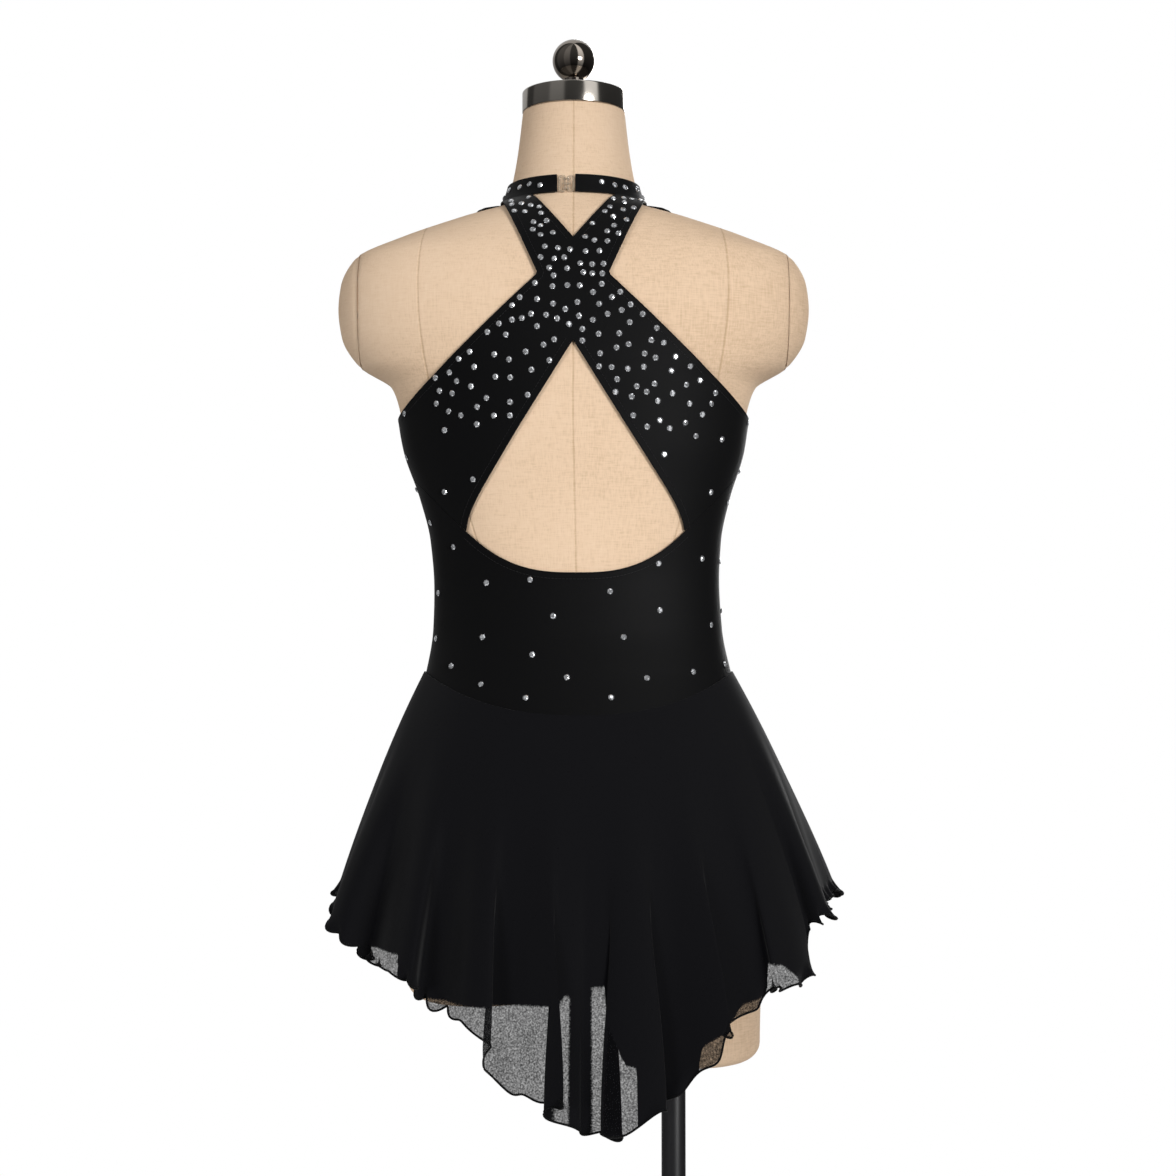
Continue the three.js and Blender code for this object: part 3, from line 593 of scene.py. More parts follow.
# Where the back's chiffon is made dense: x, and the height above which it is. Partly close layers
# of cloth, partly painted shade: the dense cloth stands in for the thighs and body behind it, which
# lie in shade under the skirt.
LAYERS_AND_SHADE = np.array([
    (-190, 640), (-170, 640), (-168, 712), (-141, 711), (-139, 640), (-121, 655), (-118, 675),
    (-90, 673), (-60, 672), (-24, 673), (-10, 673), (-8, 680), (3, 684), (12, 687), (26, 687),
    (28, 660), (42, 628), (54, 626), (55, 540), (97, 540), (100, 622), (104, 641), (127, 655),
    (137, 670), (158, 677), (159, 703), (171, 702), (184, 691), (186, 640), (200, 640),
], float)
# The height above which the front's chiffon is made dense: close layers, and painted shade over the
# body behind it.
LAYERS_AND_SHADE_FRONT = 712.0
DENSE_FOLDS = FOLDS[3:7]  # those whose three layers show as dark stripes
FOLD_DENSE = 14.0         # how far inside the dense cloth the middle of such a fold counts as
LAYER_EDGE = 1.2          # millimetres over which sheer cloth turns dense
# The hem's waves: how many, how far out and up they go, and how high above the hem they start.
WAVES, WAVE_RISE, WAVE_LIFT, WAVE_HIGH = 84, 4.2, 2.2, 13.0
SEAM_LAP = 1.5
FOLD_FROM = 0.25          # how far down the skirt the folds start, of 1
CHIFFON, CHIFFON_OUT, HEM_R = 0.4, 0.7, 0.9


back_hem = column(HEM_BACK, 1)


def hem_height(a):
    """The hem: high at the sides, lowest a little right of the centre back."""
    back = back_hem(np.degrees(a) % 360)
    return np.where(np.sin(a) < 0, back, mix(HEM_FRONT, HEM_SIDE, np.cos(a) ** 2))


def away_from(a, centre):
    """Degrees from a flute or fold, the short way round."""
    return (np.degrees(a) - centre + 540) % 360 - 180


def flutes(a):
    """Raised cosines squared, one for each flute, less their mean height."""
    total = np.full(np.shape(a), -FLUTE_MEAN)
    for at, half, rise in FLUTES:
        off = np.clip(np.abs(away_from(a, at)) / half, 0, 1)
        total += rise * np.cos(off * np.pi / 2) ** 2
    return total


def skirt_surface(a, fall, out):
    """The chiffon's points: fall is 0 at the seam and 1 at the hem.

    It drops straight down and goes out by the flare, the flutes, the folds and the hem's
    waves. A fold moves the cloth along the hem by -u exp(-u^2/2), which reverses it in the
    middle, and steps it inwards there by -tanh(u), so that the three layers stay apart.
    """
    top = hip_seam(a) + SEAM_LAP
    high = top - hem_height(a)
    drop = fall * high
    sideways = np.cos(a) ** 2
    at_side = np.where(np.cos(a) < 0, FLARE_LEFT, FLARE_SIDE)
    rate = mix(np.where(np.sin(a) < 0, FLARE_BACK, FLARE_FRONT), at_side, sideways)
    away = rate * drop - FLARE_BEND * drop ** 2
    away += flutes(a) * smooth(fall * 1.1) * fall
    along = np.zeros_like(a)
    grown = smooth((fall - FOLD_FROM) / (1 - FOLD_FROM))
    for at, half, lap, deep in FOLDS:
        u = away_from(a, at) / half
        along -= lap * 1.65 * u * np.exp(-u * u / 2) * grown
        away -= deep * np.tanh(1.4 * u) * np.exp(-(u / 3.2) ** 2) * grown
    turn = a * WAVES
    near_hem = np.clip(1 - (1 - fall) * high / WAVE_HIGH, 0, 1) ** 1.5
    uneven = 1 + 0.35 * np.sin(a * 17 + 1) + 0.25 * np.sin(a * 29)
    away += WAVE_RISE * uneven * np.sin(turn) * near_hem
    lift = WAVE_LIFT * uneven * np.sin(turn + 1.3 + np.sin(a * 11)) * near_hem
    normal = form_normal(a, top)
    flat = unit(normal * [1, 1, 0])
    tangent = np.stack([-flat[..., 1], flat[..., 0], np.zeros_like(a)], -1)
    point = on_form(a, top, ON_CLOTH + 4 * SEAM + out)
    point = point + flat * away[..., None] + tangent * along[..., None]
    point[..., 2] = top - drop + lift
    return point


def skirt_sheet(start, columns=560, rows=70):
    """One panel: angles between its side seams, and falls that crowd towards the hem."""
    t = np.linspace(0, 1, rows)
    falls = mix(t, 1 - (1 - t) ** 2, 0.6)
    angles = np.linspace(start + SIDE_GAP, start + HALF_TURN - SIDE_GAP, columns)
    return np.meshgrid(angles, falls)


def cord_rings(path, ahead, across, radius, sides):
    """Rings round a path: radius times cos and sin along two directions square to it."""
    side = unit(np.cross(ahead, across))
    up = np.cross(side, ahead)
    turn = full_turn(sides)[None, :, None]
    return path[:, None] + radius * (side[:, None] * np.cos(turn) + up[:, None] * np.sin(turn))


def tube(name, path, radius, material):
    """A round cord along an open path of points, in millimetres, with closed ends."""
    rings = cord_rings(path, unit(np.gradient(path, axis=0)), [0, 0, 1.0], radius, 8)
    piece = closed_loft(name, rings, material)
    tidy_mesh(piece)
    return piece


def loop_bar(name, path, radius, material, sides=12):
    """A closed ring of round bar along a loop of points."""
    ahead = unit(np.roll(path, -1, 0) - np.roll(path, 1, 0))
    rings = cord_rings(path, ahead, [0, 1.0, 0], radius, sides)
    faces = grid_faces(len(path) + 1, sides, closed=True) % (len(path) * sides)
    piece = make_mesh(name, rings, faces, material)
    tidy_mesh(piece)
    return piece


# ---- sewing, stones and the clasp ----
def edge_lines():
    """The dress's free edges: angles, heights and the side, +1 or -1, on which the cloth lies."""
    rise = np.linspace(0, 1, 160)
    outer_z = mix(UNDERARM + 2, SHOULDER_TOP - 2, rise)
    foot = mix(SCOOP_MIDDLE, SCOOP_SIDE, 0.6)
    for _ in range(60):
        foot = mix(foot, float(scoop(HALF_TURN + cross_inner_angle(foot))), 0.5)
    inner_z = mix(foot + 1, LOWER_NOTCH - 0.5, rise)
    upper_z = mix(UPPER_NOTCH + 0.5, SHOULDER_TOP - 2, rise)
    front = front_edge(outer_z)
    inner = cross_inner_angle(inner_z)
    upper = cross_inner_angle(upper_z)
    outer = cross_outer_angle(outer_z)
    end = float(cross_inner_angle(foot)) + 0.01
    low_a = mix(HALF_TURN + end, 2 * HALF_TURN - end, rise)
    edges = {}
    for name, from_side, z, cloth in (("outer", outer, outer_z, -1), ("inner", inner, inner_z, 1),
                                      ("upper", upper, upper_z, 1)):
        edges[f"{name}_left"] = HALF_TURN + from_side, z, cloth
        edges[f"{name}_right"] = 2 * HALF_TURN - from_side, z, -cloth
    edges["scoop"] = low_a, scoop(low_a) - SCOOP_GAP, -1
    edges["armhole_right"] = front, outer_z, -1
    edges["armhole_left"] = HALF_TURN - front, outer_z, 1
    return edges


def beside(a, z, side, inset, lift):
    """A line on the cloth, moved inwards from an edge along the cross of normal and run."""
    line = on_form(a, z, np.full(a.shape, ON_CLOTH + lift))
    across = unit(np.cross(form_normal(a, z), unit(np.gradient(line, axis=0))))
    return line + across * side * inset


def evenly(path, step):
    """Points at an even step along a path, by its run of lengths, and their directions."""
    run = np.concatenate([[0], np.cumsum(np.linalg.norm(np.diff(path, axis=0), axis=1))])
    at = np.arange(step / 2, run[-1], step)
    points = np.stack([np.interp(at, run, path[:, i]) for i in range(3)], -1)
    ahead = np.stack([np.interp(at + step * 0.2, run, path[:, i]) for i in range(3)], -1) - points
    return points, unit(ahead)


def copies(shape, faces, centres, axis_x, axis_y, axis_z):
    """One small shape set down at many centres, each turned to its own three directions."""
    axes = np.stack([axis_x, axis_y, axis_z], 1)
    points = centres[:, None] + np.einsum("pk,nki->npi", shape, axes)
    steps = np.arange(len(centres))[:, None] * len(shape)
    return points.reshape(-1, 3), [list(f + n) for n in steps for f in map(np.array, faces)]


# One stitch: a ridge 2.2 mm long. How the rolled edges and the stitches lie, in millimetres.
STITCH = np.array([(x, y, z) for x in (-1.1, 1.1) for y, z in ((-0.2, 0), (0, 0.24), (0.2, 0))])
STITCH_FACES = [(0, 1, 4, 3), (1, 2, 5, 4), (2, 0, 3, 5), (0, 2, 1), (3, 4, 5)]
ROLL_R, ROLL_IN, ROLL_LIFT = 0.72, 0.55, -0.45
STITCH_IN, STITCH_LIFT, STITCH_STEP = 5.5, 0.02, 3.1


# The stones: their size, and how far apart they are where sparse, close and closest.
STONE_R, STONE_HIGH, STONE_SUNK = 2.7, 1.5, 0.08
SPARSE, CLOSE, CLOSEST = 37.0, 10.6, 8.4


def stone_shape(radius=STONE_R, high=STONE_HIGH):
    """An eight-sided cut stone: a base, a girdle a third of the way up, and a flat table."""
    turn = np.arange(8) * np.pi / 4
    rings = [(0.82, 0.0), (1.0, 0.34), (0.78, 0.74), (0.5, 1.0)]
    points = []
    for k, (wide, up) in enumerate(rings):
        spin = turn + k * np.pi / 8
        points += list(np.stack([radius * wide * np.cos(spin), radius * wide * np.sin(spin),
                                 np.full(8, high * up)], -1))
    faces = [tuple(range(7, -1, -1)), tuple(range(24, 32))]
    for ring in range(3):
        for i in range(8):
            low, up, j = ring * 8, ring * 8 + 8, (i + 1) % 8
            faces += [(low + i, low + j, up + i), (low + j, up + j, up + i)]
    return np.array(points), faces


def scatter(a, z, spacing):
    """Keeps each random place that is farther than its own spacing from those kept before."""
    points = on_form(a, z, np.full(a.shape, ON_CLOTH))
    kept = []
    for i, point in enumerate(points):
        if not kept or np.min(np.sum((points[kept] - point) ** 2, axis=1)) > spacing[i] ** 2:
            kept.append(i)
    return a[kept], z[kept]


def stones(name, a, z, material):
    """Stones on the cloth, each turned at random and tipped by a few degrees."""
    count = len(a)
    shape, faces = stone_shape()
    up = unit(form_normal(a, z) + RANDOM.normal(0, 0.09, (count, 3)))
    spin = RANDOM.uniform(0, 2 * np.pi, count)[:, None]
    side = unit(np.cross(up, [0, 0, 1.0]))
    x = side * np.cos(spin) + np.cross(up, side) * np.sin(spin)
    centres = on_form(a, z, np.full(count, ON_CLOTH - STONE_SUNK))
    points, faces = copies(shape, faces, centres, x, np.cross(up, x), up)
    return make_mesh(name, points, faces, material, smooth_shade=False)


def cross_places(count=2600):
    """Random places on the X, close together at the top and far apart near the underarms."""
    z = RANDOM.uniform(1060, SHOULDER_TOP - 5, count)
    wide = np.abs(np.cos(cross_inner_angle(z)) - np.cos(cross_outer_angle(z))) * 150
    margin = 4.5 / np.maximum(20, wide)
    crossing = (z > LOWER_NOTCH + 6) & (z < UPPER_NOTCH - 4)
    t = mix(margin, np.where(crossing, 1, 1 - margin), RANDOM.uniform(0, 1, count))
    a = mix(cross_outer_angle(z), cross_inner_angle(z), t)
    a = np.where(RANDOM.uniform(0, 1, count) < 0.5, HALF_TURN + a, 2 * HALF_TURN - a)
    x = np.abs(form_point(a, z)[:, 0])
    keep = z > scoop(a) + 6
    a, z, x = a[keep], z[keep], x[keep]
    close = np.clip((z - 1128) / 40, 0, 1) * np.clip((128 - x) / 26, 0, 1)
    crowded = mix(CLOSE, CLOSEST, smooth((z - 1180) / 120))
    spacing = mix(SPARSE, crowded, smooth(close * 2))
    return scatter(a, z, spacing * RANDOM.uniform(0.85, 1.5, len(a)))


def lower_places(count=2500):
    """Random places all over the lower back, far apart."""
    a = RANDOM.uniform(HALF_TURN + 0.03, 2 * HALF_TURN - 0.03, count)
    z = mix(hip_seam(a) + 9, scoop(a) - 9, RANDOM.uniform(0, 1, count))
    return scatter(a, z, np.full(count, SPARSE - 1))


def front_places(count=2600):
    """Random places on the front, close together at the neck."""
    level = RANDOM.uniform(HIP_FRONT + 12, SHOULDER_TOP - 6, count)
    edge = front_edge(level)
    margin = 5.0 / np.maximum(40.0, half_width(level) * np.cos(np.clip(edge, 0, 1.5)))
    t = mix(margin, 1 - margin, RANDOM.uniform(0, 1, count))
    a = mix(edge, HALF_TURN - edge, t)
    keep = level > hip_seam(a) + 8
    a, level = a[keep], level[keep]
    spacing = mix(SPARSE - 1, CLOSE - 0.1, smooth((level - 1215) / 90))
    return scatter(a, level, spacing * RANDOM.uniform(0.9, 1.4, len(a)))


def band_places():
    """One row round the neck band, left out at the clasp, that wavers by 1.6 mm."""
    degrees = [-50, -39, -28, 24, 36, 47, 66, 88, 112, 136, 158, 180, 202, 224, 248, 272, 292]
    middle = mix(BAND_LOW, BAND_TOP, 0.5) + 0.5
    return BACK + np.radians(degrees), middle + 1.6 * np.sin(np.arange(len(degrees)) * 2.4)


# ---- materials ----
def srgb(r, g, b):
    """A display colour from 0 to 255 as linear light."""
    c = np.array([r, g, b]) / 255
    linear = np.where(c <= 0.04045, c / 12.92, ((c + 0.055) / 1.055) ** 2.4)
    return (*linear.tolist(), 1.0)


def shader_input(material, name):
    """An input of a material's main shader."""
    return material.node_tree.nodes["Principled BSDF"].inputs[name]


def plain(name, colour, rough, metal=0.0, **inputs):
    """A principled material with single values, such as a colour and a roughness."""
    material = bpy.data.materials.new(name)
    material.use_nodes = True
    values = {"Base_Color": srgb(*colour), "Roughness": rough, "Metallic": metal, **inputs}
    for key, value in values.items():
        shader_input(material, key.replace("_", " ")).default_value = value
    return material


def add_node(material, kind, **settings):
    """One node of a material or of the world, with its inputs and settings."""
    node = material.node_tree.nodes.new(kind)
    for key, value in settings.items():
        if key in node.inputs:
            node.inputs[key].default_value = value
        else:
            setattr(node, key, value)
    return node


def join(material, output, target):
    """Links one node's output to another's input."""
    material.node_tree.links.new(output, target)


def arithmetic(material, operation, a, b=0.0, clamp=False):
    """One Math node on two values, each a number or another node's output."""
    node = add_node(material, "ShaderNodeMath", operation=operation, use_clamp=clamp)
    for socket, value in zip(node.inputs, (a, b)):
        if isinstance(value, (int, float)):
            socket.default_value = value
        else:
            join(material, value, socket)
    return node.outputs[0]


def attribute(material, name):
    """The number that a piece's points carry under a name."""
    return add_node(material, "ShaderNodeAttribute", attribute_name=name).outputs["Fac"]


def map_range(material, value, low, high, to_low, to_high):
    """A value carried from one range to another and held at its ends."""
    node = add_node(material, "ShaderNodeMapRange", **{
        "From Min": low, "From Max": high, "To Min": to_low, "To Max": to_high})
    join(material, value, node.inputs["Value"])
    return node.outputs[0]


def noise_on(material, stretch, scale, detail=2.0):
    """Noise on object coordinates, stretched by a factor for each axis."""
    where = add_node(material, "ShaderNodeTexCoord").outputs["Object"]
    mapping = add_node(material, "ShaderNodeMapping")
    mapping.inputs["Scale"].default_value = stretch
    join(material, where, mapping.inputs["Vector"])
    noise = add_node(material, "ShaderNodeTexNoise", Scale=scale, Detail=detail)
    join(material, mapping.outputs[0], noise.inputs["Vector"])
    return noise.outputs["Fac"]


def ramp(material, value, stops):
    """A colour or grey read off a row of (place, colour) stops."""
    node = add_node(material, "ShaderNodeValToRGB")
    bar = node.color_ramp.elements
    while len(bar) < len(stops):
        bar.new(0.5)
    for element, (place_on_bar, colour) in zip(bar, stops):
        element.position, element.color = place_on_bar, colour
    join(material, value, node.inputs["Fac"])
    return node.outputs["Color"]


def bump(material, height, strength, distance):
    """Relief of a height field, in metres, on the material's surface."""
    node = add_node(material, "ShaderNodeBump", Strength=strength, Distance=distance)
    join(material, height, node.inputs["Height"])
    join(material, node.outputs[0], shader_input(material, "Normal"))


def grey(level):
    """A linear grey."""
    return (level, level, level, 1.0)


def linen_cloth():
    """Ecru plain weave: threads both ways with slubs, and grooves where the pieces are sewn."""
    material = plain("linen", (228, 204, 174), 0.92, Specular_IOR_Level=0.25)
    across = noise_on(material, (0.12, 0.12, 1.0), 900, 1.0)
    upright = noise_on(material, (1.0, 1.0, 0.08), 900, 1.0)
    weave = arithmetic(material, "ADD", across, upright)
    patches = noise_on(material, (1, 1, 1), 6, 3.0)
    seam = None
    for name in ("middle_seam", "side_seam"):
        far = arithmetic(material, "ABSOLUTE", attribute(material, name))
        share = arithmetic(material, "DIVIDE", far, 1.3)
        near = arithmetic(material, "SUBTRACT", 1.0, share, clamp=True)
        seam = near if seam is None else arithmetic(material, "MAXIMUM", seam, near)
    tone = arithmetic(material, "ADD", arithmetic(material, "MULTIPLY", weave, 0.24),
                      arithmetic(material, "MULTIPLY", patches, 0.36))
    tone = arithmetic(material, "SUBTRACT", tone, arithmetic(material, "MULTIPLY", seam, 0.16))
    colour = ramp(material, tone, [(0.2, srgb(200, 169, 136)), (0.42, srgb(228, 199, 169)),
                                   (0.64, srgb(236, 210, 183))])
    join(material, colour, shader_input(material, "Base Color"))
    height = arithmetic(material, "SUBTRACT", arithmetic(material, "MULTIPLY", weave, 0.3), seam)
    bump(material, height, 0.6, 0.0006)
    return material


def knit_cloth():
    """Black stretch knit: hardly any gloss, and fine ribs that run up and down the cloth."""
    material = plain("spandex_black", (7, 7, 8), 0.6, Specular_IOR_Level=0.1, Sheen_Weight=0.05)
    ribs = noise_on(material, (1.0, 1.0, 0.15), 1800, 1.0)
    bump(material, ribs, 0.25, 0.0003)
    return material


# Dense is for close layers of cloth and also painted shade over the shaded body behind the skirt.
MESH_THIN, MESH_DENSE = 0.56, 1.2   # the opacity of one face, sheer and dense


def mesh_cloth():
    """Black sheer mesh: each face lets light through in a fine speckle, less where it is dense.

    The attribute read below is how far, in millimetres, the place is inside the dense cloth: where
    it hangs in close layers, and where it is made dense as painted shade over the thighs and body
    behind it, which lie in shade. The speckle of the threads is added to the opacity or taken off.
    """
    material = plain("chiffon_black", (12, 12, 15), 0.8, Specular_IOR_Level=0.08,
                     Sheen_Weight=0.07)
    speckle = noise_on(material, (1, 1, 1), 720, 1.0)
    clouds = noise_on(material, (1, 1, 1), 45, 2.0)
    spread = arithmetic(material, "ADD", arithmetic(material, "MULTIPLY", speckle, 0.9),
                        arithmetic(material, "MULTIPLY", clouds, 0.16))
    spread = arithmetic(material, "SUBTRACT", spread, 0.53)
    # opacity from sheer to dense: close layers, and painted shade where the body behind lies in
    # shade
    veil = map_range(material, attribute(material, "layers_and_shade"), -LAYER_EDGE, LAYER_EDGE,
                     MESH_THIN, MESH_DENSE)
    opacity = arithmetic(material, "ADD", veil, spread, clamp=True)
    join(material, opacity, shader_input(material, "Alpha"))
    return material


linen = linen_cloth()
spandex = knit_cloth()
chiffon = mesh_cloth()
clear_plastic = plain("clear_plastic", (176, 160, 140), 0.1, Alpha=0.4)
chrome = plain("chrome", (186, 180, 172), 0.13, 1.0)
dark_chrome = plain("dark_chrome", (158, 149, 140), 0.07, 1.0)
black_metal = plain("black_metal", (32, 32, 34), 0.4, Specular_IOR_Level=0.35)
black_plastic = plain("black_plastic", (28, 28, 29), 0.5)
thread = plain("black_thread", (30, 30, 31), 0.7)
crystal = plain("crystal", (240, 242, 246), 0.08, 0.82)


# ---- building: form and stand ----
torso = place(make_torso(linen), ["form_torso"])
for side_name in TOWARDS:
    place(make_thigh(side_name, linen))
    place(make_shoulder_cap(side_name, linen), [f"shoulder_cap_{side_name}"])

cap_y, cap_r = float(form["lead"](FORM_TOP)), float(form["side"](FORM_TOP)) + CAP_OVER
stub_end, bore = THIGH_END["right"], POLE_R + SEAM
pole_top, pole_low = stub_end + POLE_INTO, BASE_THICK + SEAM
socket_top = stub_end - SEAM
socket_low = socket_top - SOCKET_HIGH


def metal(name, profile, material, slot, node, x=POLE_X, y=POLE_Y, sides=96):
    """A turned piece of the stand or the neck, hung in place of its CAD node."""
    place(turned(name, profile, x, y, material, sides), [node])


metal("neck_cap_chrome", [
    (0, CAP_LOW), *arc(cap_r - 0.8, CAP_LOW + 0.8, 0.8, -90, 0),
    *arc(cap_r - CAP_BEVEL, CAP_TOP - CAP_BEVEL, CAP_BEVEL, 0, 90), (0, CAP_TOP),
], chrome, "chrome", "neck_cap", 0.0, cap_y)
metal("neck_ball", [
    (0, CAP_TOP + SEAM), (KNOB_FOOT, CAP_TOP + SEAM), (KNOB_FOOT, CAP_TOP + 10.5),
    *arc(0, KNOB_Z, KNOB_R, -61, 90, 40),
], dark_chrome, "dark_chrome", "neck_knob", 0.0, cap_y)
metal("stand_pole", [
    (0, pole_low), (POLE_R, pole_low), *arc(POLE_R - 2, pole_top - 2, 2, 0, 90), (0, pole_top),
], black_metal, "black_metal", "pole")
metal("stand_socket", [
    (bore, socket_low), *arc(SOCKET_R - 4, socket_low + 4, 4, -90, 0),
    *arc(SOCKET_R - 0.6, socket_top - 0.6, 0.6, 0, 90, 4), (bore, socket_top), (bore, socket_low),
], black_plastic, "black_plastic", "pole_socket")
metal("stand_base", [
    (0, 0), *arc(BASE_R - 1.2, 1.2, 1.2, -90, 0), *arc(BASE_R - 2, BASE_THICK - 2, 2, 0, 90),
    *arc(HUB_R + HUB_FOOT, BASE_THICK + HUB_FOOT, HUB_FOOT, -90, -180, 8),
    *arc(HUB_R - 3, HUB_HIGH - 3, 3, 0, 90), (bore, HUB_HIGH), (bore, BASE_THICK), (0, BASE_THICK),
], black_metal, "black_metal", "base_plate", sides=160)

# ---- building: the dress ----
PANELS = (("front", 0.0), ("back", HALF_TURN))


def bodice_piece(name, sheet, node, out=CLEAR):
    """A piece of stretch cloth on the form, hung in place of its CAD node."""
    piece = cloth_on_form(name, *sheet, spandex, out)
    return place(piece, [node])


front = bodice_piece("bodice_front", front_sheet(), "front_bodice")
lower = bodice_piece("bodice_lower_back", lower_back_sheet(), "back_lower")
cross = bodice_piece("bodice_cross", cross_sheet(), "back_cross")
band = bodice_piece("neck_band_cloth", band_sheet(), "neck_band")
briefs = [bodice_piece(f"brief_{name}_cloth", brief_sheet(start), f"brief_{name}", CLEAR + SEAM)
          for name, start in PANELS]


def depth_in_layers_and_shade(piece, angles, name):
    """How far inside the dense cloth each point is: above a height, where it stands for close
    layers and painted shade over the shaded thighs and body behind, and in the middle of a fold.
    """
    x, _, z = points_of(piece).T
    lowest = np.interp(x, LAYERS_AND_SHADE[:, 0], LAYERS_AND_SHADE[:, 1]) if name == "back" else LAYERS_AND_SHADE_FRONT
    inside = [1 - np.abs(away_from(angles, at) / half) for at, half, *_ in DENSE_FOLDS]
    folded = np.tile(np.max(inside, axis=0).ravel(), 2)
    return np.maximum(z - lowest, FOLD_DENSE * folded)


skirts, hems = [], []
for name, start in PANELS:
    angles, fall = skirt_sheet(start)
    outer = skirt_surface(angles, fall, CHIFFON_OUT)
    inner = skirt_surface(angles, fall, CHIFFON_OUT - CHIFFON)
    # the grid's rows run downwards here, so the two sheets change places to face outwards
    panel = wall(f"skirt_{name}_chiffon", outer, inner, grid_faces(*angles.shape), chiffon)
    # dense cloth: close layers and folds, and painted shade where the body behind the skirt lies in
    # shade
    set_attribute(panel, "layers_and_shade", depth_in_layers_and_shade(panel, angles, name))
    skirts.append(place(panel, [f"skirt_{name}"]))
    cord = tube(f"skirt_{name}_hem", (outer[-1] + inner[-1]) / 2, HEM_R, spandex)
    hems.append(place(cord))


def sew_edges():
    """A rolled edge along every free edge, and a row of stitches inside it, as one piece."""
    points, faces, count = [], [], 0
    for name, (a, z, side) in edge_lines().items():
        roll = beside(a, z, side, ROLL_IN, ROLL_LIFT)
        place(tube(f"edge_{name}", roll, ROLL_R, spandex))
        at, ahead = evenly(beside(a, z, side, STITCH_IN, STITCH_LIFT), STITCH_STEP)
        share, own = np.linspace(0, 1, len(at)), np.linspace(0, 1, len(a))
        up = unit(form_normal(np.interp(share, own, a), np.interp(share, own, z)))
        row, row_faces = copies(STITCH, STITCH_FACES, at, ahead, unit(np.cross(up, ahead)), up)
        faces += [[corner + count for corner in face] for face in row_faces]
        points.append(row)
        count += len(row)
    place(make_mesh("edge_stitches", np.concatenate(points), faces, thread))


# The clasp: each frame's half width and half height, its place, its bar and how square it is,
# and the links' steps, half length, bow and radius.
CLASP_OUT = 1.6
FRAME_HALF, FRAME_OFF, FRAME_BAR, FRAME_SQUARE = (2.5, 6.6), 3.7, 1.0, 0.45
LINK_STEP, LINK_HALF, LINK_BOW, LINK_R = 4.2, 3.4, 1.3, 0.9


def fit_clasp():
    """Two clear frames beside each other at the band's gap, with three links between them."""
    middle = np.array([mix(BAND_LOW, BAND_TOP, 0.5)])
    y = float(on_form(np.array([BACK]), middle, np.array([CLEAR + CLASP_OUT]))[0, 1])
    corner = full_turn(48)
    for name, off in (("clasp_hook", -FRAME_OFF), ("clasp_loop", FRAME_OFF)):
        x = BAND_GAP_AT + off + FRAME_HALF[0] * signed_power(np.cos(corner), FRAME_SQUARE)
        z = middle + FRAME_HALF[1] * signed_power(np.sin(corner), FRAME_SQUARE)
        ring = np.stack([x, np.full(48, y), z], -1)
        place(loop_bar(f"{name}_frame", ring, FRAME_BAR, clear_plastic), [name])
    x = BAND_GAP_AT + np.linspace(-LINK_HALF, LINK_HALF, 14)
    bow = y - LINK_BOW * np.cos(np.linspace(-1.5, 1.5, 14))
    for name, high in (("down4", -LINK_STEP), ("up0", 0.0), ("up4", LINK_STEP)):
        path = np.stack([x, bow, np.full(14, middle + high)], -1)
        place(tube(f"clasp_link_{name}", path, LINK_R, clear_plastic))


sew_edges()
for name, places in (("back", cross_places), ("lower_back", lower_places),
                     ("front", front_places), ("band", band_places)):
    place(stones(f"stones_{name}", *places(), crystal))
fit_clasp()


# ---- light, floor and the end ----
def soft_light(name, place_m, aim_m, size, power, spread, mirrored=True):
    """A square soft box at a place, in metres, turned towards a point, its beam kept narrow."""
    data = bpy.data.lights.new(name, "AREA")
    data.size, data.energy, data.spread = size, power, math.radians(spread)
    light = bpy.data.objects.new(name, data)
    light.location, light.visible_glossy = place_m, mirrored
    direction = Vector(aim_m) - Vector(place_m)
    light.rotation_euler = direction.to_track_quat("-Z", "Y").to_euler()
    bpy.context.scene.collection.objects.link(light)


soft_light("key", (1.9, -2.8, 1.35), (0.04, 0, 1.12), 1.3, 3.5, 24)
soft_light("fill", (-2.3, -2.5, 1.2), (-0.05, 0, 1.10), 1.8, 3.9, 30, mirrored=False)
soft_light("front", (0.9, 3.0, 1.9), (0, 0, 0.9), 1.8, 10.0, 70)

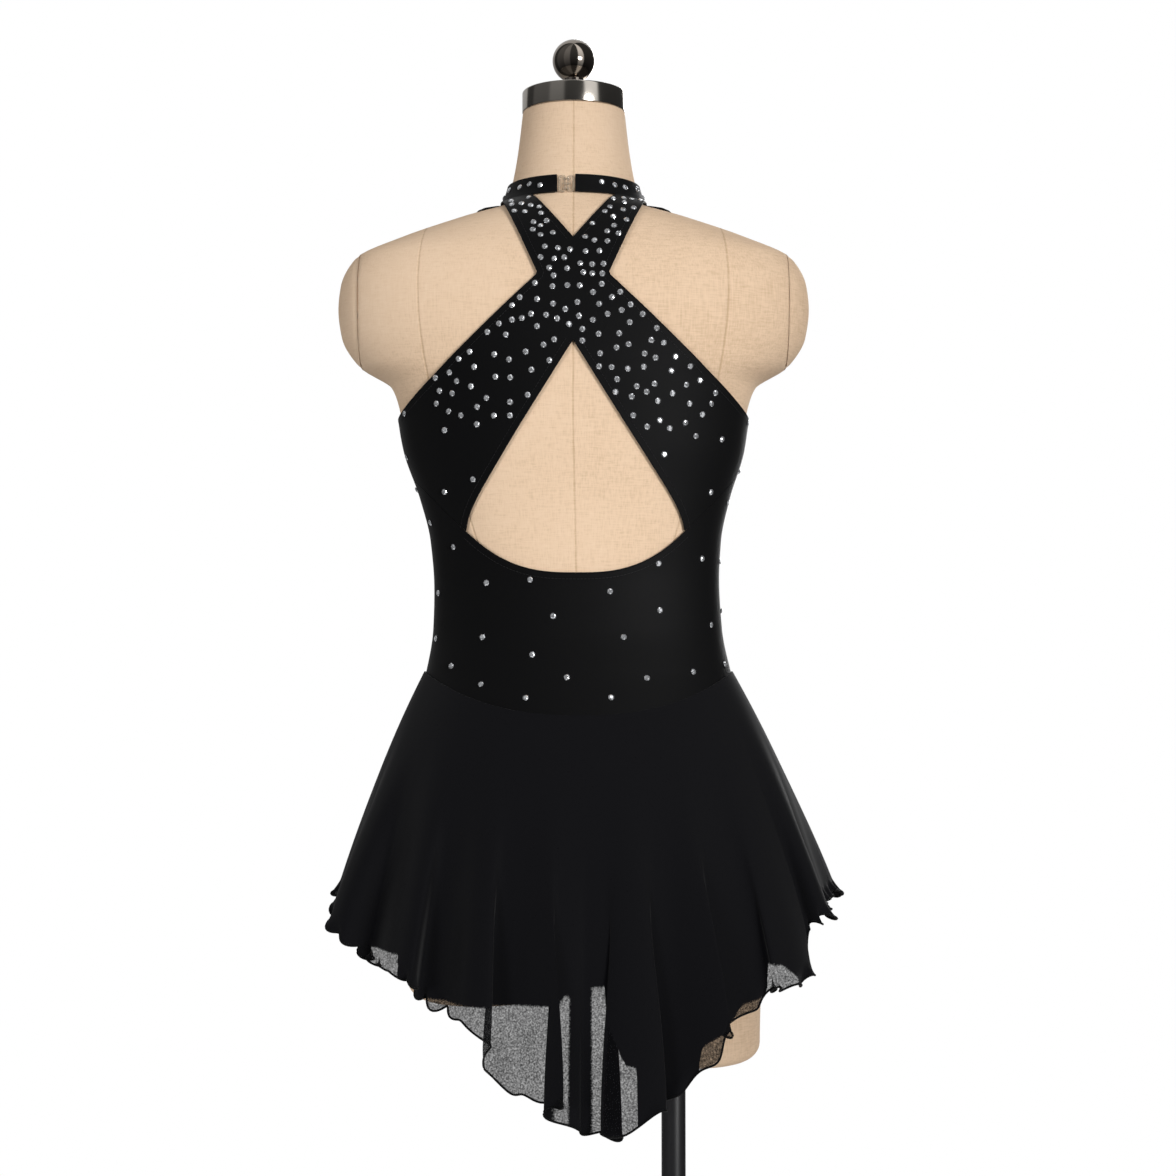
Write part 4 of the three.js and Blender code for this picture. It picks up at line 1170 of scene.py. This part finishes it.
# The room that lights the part: dim below and brighter above, and round the horizon a studio's
# dark walls and pale screens, which the chrome shows as bands. Each row is a bearing in degrees,
# from straight behind the camera towards +X, and how bright the room is from there on.
ROOM = [(-180, 0.46), (-128, 0.05), (-101, 0.12), (-55, 0.23), (-21, 0.06), (24, 1.0), (55, 0.04),
        (144, 0.46)]
ROOM_LEVEL = 4.6
ROOM_FADE = (0.04, 0.40)  # the part of that brightness well below and well above the horizon
SOFTEN = 3.0              # degrees over which one band fades into the next
FLOOR_R, FLOOR_Z = 1300.0, -1.0


def light_room():
    """The world: white to the camera, and bands of the room, dimmer below, to all else."""
    world = bpy.data.worlds.new("world")
    bpy.context.scene.world = world
    world.use_nodes = True
    seen, lit = world.node_tree.nodes["Background"], add_node(world, "ShaderNodeBackground")
    seen.inputs["Color"].default_value = grey(1)
    way = add_node(world, "ShaderNodeSeparateXYZ")
    join(world, add_node(world, "ShaderNodeTexCoord").outputs["Generated"], way.inputs[0])
    height = map_range(world, way.outputs["Z"], -0.6, 0.7, *ROOM_FADE)
    backward = arithmetic(world, "MULTIPLY", way.outputs["Y"], -1.0)
    bearing = arithmetic(world, "ARCTAN2", way.outputs["X"], backward)
    stops = [(0.0, grey(ROOM[0][1]))]
    for (_, before), (degrees, level) in zip(ROOM, ROOM[1:]):
        stops += [((degrees - SOFTEN + 180) / 360, grey(before)),
                  ((degrees + SOFTEN + 180) / 360, grey(level))]
    bands = ramp(world, map_range(world, bearing, -math.pi, math.pi, 0.0, 1.0), stops)
    bright = arithmetic(world, "MULTIPLY", bands, ROOM_LEVEL)
    join(world, arithmetic(world, "MULTIPLY", height, bright), lit.inputs["Strength"])
    blend = add_node(world, "ShaderNodeMixShader")
    by_ray = add_node(world, "ShaderNodeLightPath").outputs["Is Camera Ray"]
    for output, socket in zip((by_ray, lit.outputs[0], seen.outputs[0]), blend.inputs):
        join(world, output, socket)
    join(world, blend.outputs[0], world.node_tree.nodes["World Output"].inputs["Surface"])


light_room()
bpy.context.scene.view_settings.view_transform = "Standard"

turn = full_turn(96)
rim = np.stack([FLOOR_R * np.cos(turn), FLOOR_R * np.sin(turn), np.full(96, FLOOR_Z)], -1)
floor_look = plain("floor", (248, 248, 248), 0.8, Emission_Color=grey(1),
                   Emission_Strength=0.16)
make_mesh("floor", rim, [list(range(96))], floor_look)
